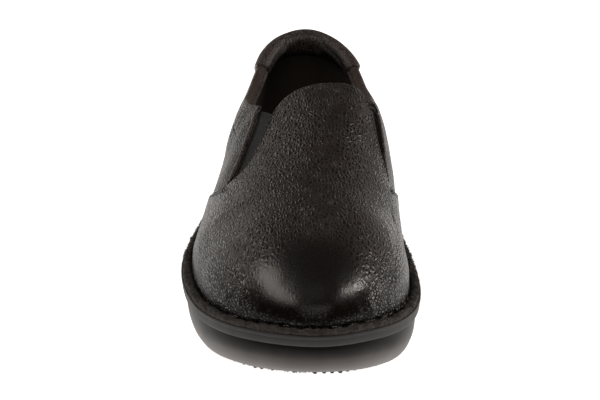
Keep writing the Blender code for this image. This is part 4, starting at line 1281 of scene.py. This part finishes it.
def gore_front(vamp, side, count):
    """The vamp's edge along one gore, from the gore's foot up to the throat, as count + 1 places (c, r)."""
    first, end = (0, 0) if side == "lateral" else (1, -1)
    half = vamp_edge(np.linspace(first, 0.5, CURVE_SAMPLES // 2))
    half = half[half[:, 1] < y_of(seam(side)["throat_along"])]
    start = SHOE_LAST.plan_of(vamp.c[LOWER_ROWS, [end]], vamp.r[LOWER_ROWS, [end]])
    curve = along_curve(np.vstack([start, half[::10]]), between(0, 1, count))
    return np.column_stack(SHOE_LAST.place_of(curve))


def slope(place):
    """Metres of surface for each unit of r at a place."""
    nudge = 0.01
    ends = SHOE_LAST.at(np.full(2, place[0]), place[1] + np.array([0, nudge]))
    return np.linalg.norm(ends[1] - ends[0]) / nudge


def make_gore(vamp, quarter, side, elastic):
    """Elastic behind one notch, bowed a little between the leathers that hold it, with a ribbed top hem."""
    rows, columns = 140, 30
    front = gore_front(vamp, side, rows)
    back = quarter_edge(quarter, side)
    back = read_off(np.linspace(0, len(back) - 1, rows + 1), np.arange(len(back)), back)
    width = seam(side)["gore_width"] / ROUND
    back[0, 0] = front[0, 0] % 1 + (width if side == "lateral" else -width)
    back[:, 0] = back[:, 0] % 1
    front[:, 0] = front[:, 0] % 1
    ends = (back, front) if side == "lateral" else (front, back)
    ends = [np.vstack([end[:1] + [0, GORE_LAP / slope(end[0])], end]) for end in ends]
    points = [SHOE_LAST.at(*end.T) for end in ends]
    lap = GORE_LAP / np.linalg.norm(points[1] - points[0], axis=1)
    across = -lap[:, None] + (1 + 2 * lap[:, None]) * between(0, 1, columns)[None, :]
    places = ends[0][:, None] + (ends[1] - ends[0])[:, None] * across[:, :, None]
    flat = places.reshape(-1, 2).T
    grid, normal = (make(*flat).reshape(*across.shape, 3) for make in (SHOE_LAST.at, SHOE_LAST.normal))
    wide, tall = travel(grid, 1), travel(grid)
    from_top = tall[-1:] - tall
    bow = GORE_BOW * np.sin(np.pi * np.clip(across, 0, 1))
    hem = HEM_RIB * np.cos(2 * np.pi * from_top / HEM_PITCH) * ease(4 - from_top / (1.2 * MM))
    outer = grid + normal * (bow + hem - LEATHER - GORE_CLEAR)[:, :, None]
    inner = grid + normal * (bow - LEATHER - GORE_CLEAR - GORE_THICK)[:, :, None]
    piece = wall_piece("elastic_gore_" + side, outer, inner, (elastic,))
    middle = wide[:, -1:] / 2
    put_uv(piece, "weave", np.tile(np.stack([wide - middle, tall], axis=2).reshape(-1, 2) / MM, (2, 1)))
    return dress(piece, "gore elastic", "gore_" + side)


def cord_piece(name, path, facing, width, height, material):
    """A rounded strip that wide and high laid along a path, with closed ends."""
    across = unit(np.cross(np.gradient(path, axis=0), facing))
    angles = np.arange(CORD_SIDES) * 2 * np.pi / CORD_SIDES
    taper = np.ones(len(path))
    taper[[0, -1]], taper[[1, -2]] = 0.3, 0.8
    rings = path[:, None] + taper[:, None, None] * (
        across[:, None] * (np.cos(angles) * width / 2)[None, :, None]
        + facing[:, None] * (np.sin(angles) * height)[None, :, None]
    )
    faces = tube_faces(len(path), CORD_SIDES, (0, 3, 2, 1))
    faces.append(list(range(CORD_SIDES)))
    faces.append([(len(path) - 1) * CORD_SIDES + i for i in reversed(range(CORD_SIDES))])
    return mesh_piece(name, rings, faces, [material])


def make_bindings(quarter, leather):
    """The quarter's edge along each gore: turned over into a thick fold, with its lining's edge below."""
    strips = (
        # name, shift round the outline, depth under the last's face, width and height, in mm
        ("fold", 0.2, 0.35, 2.3, 1.0),
        ("underlay", -1.0, 1.7, 1.3, 0.6),
    )
    for side in SIDES:
        places = quarter_edge(quarter, side)[4::3]
        inward = 1 if side == "lateral" else -1
        for name, shift, sink, width, height in strips:
            c = places[:, 0] + inward * shift * MM / ROUND
            facing = SHOE_LAST.normal(c, places[:, 1])
            path = SHOE_LAST.at(c, places[:, 1]) - facing * sink * MM
            label = "gore_%s_%s" % (name, side)
            dress(cord_piece(label, path, facing, width * MM, height * MM, leather), "upper leather")


def make_piping(panel, leather):
    """Corded edge of the lining inside the top line, from each gore back under the cuff."""
    below, under_cuff, width, height = 2.9 * MM, 5 * MM, 1.8 * MM, 1.2 * MM
    inner = panel.face(quarter_offsets(panel)[1])
    for side in SIDES:
        end = float(PLAN.place(y_of(CUFF_FRONT_ALONG + under_cuff), side, 1))
        front = np.arange(len(panel.turn))
        front = front[panel.c[-1] < end] if side == "lateral" else front[panel.c[-1] > end]
        front = front[4:] if side == "medial" else front[:-4]
        row = np.abs(panel.below[:, front] - below).argmin(0)
        rough = inner[row, front]
        path = np.column_stack([np.convolve(line, np.ones(5) / 5, "valid") for line in rough.T])
        facing = -panel.normal[row, front][2:-2]
        dress(cord_piece("collar_piping_" + side, path, facing, width, height, leather), "upper leather")


def make_cuff(panel, leather):
    """Padded patch round the top of the heel, over the collar from the outside to the inside.

    Past the top line it has a groove, then a corded ridge and a second groove that give way to pleats at
    the middle of the heel. Its grooves are painted dark and it is painted darker further in, as painted
    shade.
    """
    outer, inner, _ = quarter_offsets(panel)
    faces = panel.face(outer), panel.face(inner)
    ends = [float(PLAN.place(y_of(CUFF_FRONT_ALONG), side, 1)) for side in SIDES[::-1]]
    columns = between(*ends, 280)
    top = len(panel.grid)

    def on_row(face, row, lean=0.0):
        return read_off(0.5 + (columns - 0.5) * (1 - lean), panel.c[row][::-1], face[row][::-1])

    starts = [LOWER_ROWS + round(UPPER_ROWS * s) for s in (CUFF_OUTSIDE_SHARE, CUFF_INSIDE_SHARE)]
    flat = LOWER_ROWS + UPPER_ROWS
    outside = [
        on_row(faces[0], row, CUFF_LEAN * max(0, flat - row) / (flat - starts[0]))
        for row in range(starts[0], top)
    ]
    inside = [on_row(faces[1], row) for row in range(starts[1], top - 1)]
    path = np.array(outside + inside[::-1])
    normal = unit(np.cross(np.gradient(path, axis=1), np.gradient(path, axis=0)), 1e-12)
    step, side = travel(path), travel(path, 1)
    edge = np.minimum(np.minimum(step, step[-1:] - step), np.minimum(side, side[:, -1:] - side))
    full = np.sqrt(1 - (1 - np.clip(edge / CUFF_ROUND, 0, 1)) ** 2)
    pad = CUFF_PUFF * ease(edge / (9 * MM))
    past = step - step[len(outside) - 1 : len(outside)]
    pleats_at, half_width, pitch = CUFF_PLEATS
    middle = 1 - ease((np.abs(path[:, :, 0] - pleats_at) - half_width) / (4 * MM))
    pleats = np.sin(side / pitch * 2 * np.pi + 1.5 * ripple(path, 16 * MM, 41))
    pleats = PLEAT_DEPTH * pleats * middle * ease((past - 0.8 * MM) / (2 * MM)) * ease(edge / (3 * MM))
    groove = bell(past, (2.9 - 2.2 * middle) * MM, (0.7 - 0.25 * middle) * MM)
    under = bell(past, 6.2 * MM, 0.7 * MM) * (1 - middle)
    piping = bell(past, 4.4 * MM, 0.9 * MM) * (1 - middle)
    base = path + normal * CUFF_CLEAR
    lift = CUFF_THICK * full + pad + pleats + (0.55 * piping - 0.6 * groove - 0.4 * under) * MM
    lift += 0.14 * MM * ripple(path, 12 * MM, 42)
    piece = wall_piece("collar_cuff_pad", base + normal * lift[:, :, None], base, (leather,))
    # Painted shade: darker further in towards the shoe's inside, and dark in both grooves
    inside_shade = 0.85 * ease((past - 5.6 * MM - 3 * MM * middle) / ((1.2 + 3 * middle) * MM))
    dark = np.maximum(np.maximum(groove, 0.9 * under), inside_shade)
    put_field(piece, "seam", dark, 0 * dark)
    return dress(piece, "cuff leather", "collar_cuff")


def make_stitches(vamp, thread):
    """Two rows of stitches along each wing seam, one along each gore, and a bar tack at each gore's foot."""
    seam_lift, tack_lift = VAMP_STEP + 0.05 * MM, VAMP_STEP + 0.35 * MM
    metres_of_r = 0.05  # surface for each unit of r, about
    paths, facings = [], []

    def sew(c, r, lift):
        facing = SHOE_LAST.normal(c, r)
        paths.append(SHOE_LAST.at(c, r) + facing * lift)
        facings.append(facing)

    rows = slice(4, LOWER_ROWS + 1)
    for shift in (0.011, 0.021):
        for turn in (-1 + shift, 1 - shift):
            pick = int(np.abs(vamp.turn - turn).argmin())
            sew(vamp.c[rows, pick], vamp.r[rows, pick], seam_lift)
    for pick, way in ((3, 1), (-4, -1)):
        for share in (-0.35, 0.35):
            c = vamp.c[LOWER_ROWS, pick] + way * np.array([-1.2, 1.4]) * MM / ROUND
            sew(c, vamp.r[LOWER_ROWS, pick] + np.full(2, share * MM / metres_of_r), tack_lift)
    for columns in (slice(6, 78), slice(-78, -6)):
        row = np.abs(vamp.below[:, columns] - 2.3 * MM).argmin(0)
        pick = np.arange(len(vamp.turn))[columns]
        sew(vamp.c[row, pick], vamp.r[row, pick], seam_lift)
    values = {"Spacing": 2.5 * MM, "Length": 2.0 * MM, "Thickness": 0.5 * MM, "Thread": thread}
    stitches = grow("seam_stitches", path_carrier(paths, facings), stitch_tree(), values)
    return dress(stitches, "upper leather")


def make_upper():
    """All pieces of the upper on their panels."""
    leather, soft = tumbled_leather(), collar_leather()
    # Brushed black lining fabric: no gloss and a faint nap
    nap = {"detail": 4, "bump": (0.5, 0.15 * MM), "sheen_weight": 0.15, "roughness": 0.95}
    lining = mottled("brushed lining", 0.8 * MM, "#2e2721", "#3f362e", **nap)
    # Black bonded polyester thread, a little glossier than the lining
    thread = mottled("waxed thread", 0.3 * MM, "#0d0b0a", "#2c2725", detail=1, roughness=0.5)
    vamp, quarter = make_vamp_panel(), make_quarter_panel()
    make_vamp(vamp, leather, lining)
    make_quarters(quarter, leather, lining)
    elastic = elastic_webbing()
    for side in SIDES:
        make_gore(vamp, quarter, side, elastic)
    make_bindings(quarter, soft)
    make_piping(quarter, soft)
    make_cuff(quarter, soft)
    make_stitches(vamp, thread)


def make_sole():
    """All pieces of the sole and the footbed."""
    rubber = outsole_rubber()
    make_outsole(rubber)
    make_studs(rubber)
    make_rim(rim_rubber())
    # Loose leather fibre, grey where the light catches it
    make_welt(raw_welt(), mottled("welt fibre", 2 * MM, "#0c0a09", "#544b46", roughness=0.8))
    # Undyed core of the sewing thread, dusty and matt
    make_thread_ends(mottled("undyed thread", 1.5 * MM, "#7d746c", "#b9b0a6", roughness=0.8))
    make_footbed(footbed_leather())


# Stage, light and camera

CAMERA_TARGET = Vector((0.0004, 0.0, 0.045))
CAMERA_ELEVATION = 17.5  # degrees above the horizon, straight in front of the toe
CAMERA_DISTANCE = 0.95
CAMERA_LENS = 115.2  # mm
CAMERA_SENSOR = 36  # mm wide
WARM_WHITE = "#fff7f0"

LIGHTS = (
    # name, place, width and depth in metres, power in watts
    ("left softbox", (-0.62, 0.02, 1.0), (0.95, 0.36), 2.8),
    ("right softbox", (0.80, 0.09, 0.97), (0.16, 0.20), 2.25),
    ("left kicker", (-0.75, 1.3, 0.66), (0.35, 0.35), 0.7),
    ("right kicker", (0.75, 1.3, 0.66), (0.35, 0.35), 0.35),
    ("left strip", (-0.95, 0.35, 0.3), (0.3, 0.2), 1.2),
    ("right strip", (0.95, 0.25, 0.26), (0.3, 0.2), 2.6),
    ("overhead", (0.0, -0.12, 1.6), (0.7, 0.5), 0.18),
    ("front fill", (0.1, -1.5, 1.4), (1.8, 1.4), 6),
)


def make_stage():
    """Lit white studio sweep, far enough out to fill every view."""
    far = 20.0
    corners = [(-far, -far, 0), (far, -far, 0), (far, far, 0), (-far, far, 0)]
    glow = {"emission_strength": 1.0, "emission_color": linear("#fffdfb")}
    sweep = mottled("studio sweep", 0.5, "#f0efee", "#f4f3f2", roughness=0.9, **glow)
    floor = mesh_piece("floor", corners, [[0, 1, 2, 3]], [sweep])


def make_lights():
    """Softboxes over both flanks, kickers, low strips, weak fills, and a room bright low down behind."""
    for name, place, size, power in LIGHTS:
        lamp = bpy.data.lights.new(name, "AREA")
        lamp.shape = "RECTANGLE"
        lamp.size, lamp.size_y = size
        lamp.energy = power
        lamp.color = linear(WARM_WHITE)[:3]
        made = link(name, lamp)
        made.location = place
        made.rotation_euler = (CAMERA_TARGET - made.location).to_track_quat("-Z", "Y").to_euler()
    world = bpy.data.worlds.new("studio")
    bpy.context.scene.world = world
    world.use_nodes = True
    tree = world.node_tree
    heading = add(tree, "ShaderNodeTexCoord", out="Generated")
    way = add(tree, "ShaderNodeSeparateXYZ", {0: heading}).node.outputs
    down = add(tree, "ShaderNodeMath", {0: 1.0, 1: way["Z"]}, operation="SUBTRACT", use_clamp=True)
    fade = add(tree, "ShaderNodeMath", {0: down, 1: 4.0}, operation="POWER")
    low = add(tree, "ShaderNodeMapRange", {"Value": fade, "To Min": 0.055, "To Max": 0.45})
    back = {"Value": way["Y"], "From Min": -0.35, "From Max": 0.35, "To Min": 0.04, "To Max": 1.0}
    behind = add(tree, "ShaderNodeMapRange", back, **SOFT_STEP)
    bright = add(tree, "ShaderNodeMath", {0: low, 1: behind}, operation="MULTIPLY")
    feed(tree, tree.nodes["Background"], {"Strength": bright, "Color": linear(WARM_WHITE)})


def make_camera():
    """Camera at the photograph's angle."""
    lens = bpy.data.cameras.new("camera")
    lens.lens, lens.sensor_width = CAMERA_LENS, CAMERA_SENSOR
    camera = link("camera", lens)
    angle = math.radians(CAMERA_ELEVATION)
    back = Vector((0, -math.cos(angle), math.sin(angle)))
    camera.location = CAMERA_TARGET + back * CAMERA_DISTANCE
    camera.rotation_euler = (-back).to_track_quat("-Z", "Y").to_euler()
    bpy.context.scene.camera = camera
    bpy.context.scene.view_settings.view_transform = "Standard"


make_sole()
make_upper()
make_stage()
make_lights()
make_camera()
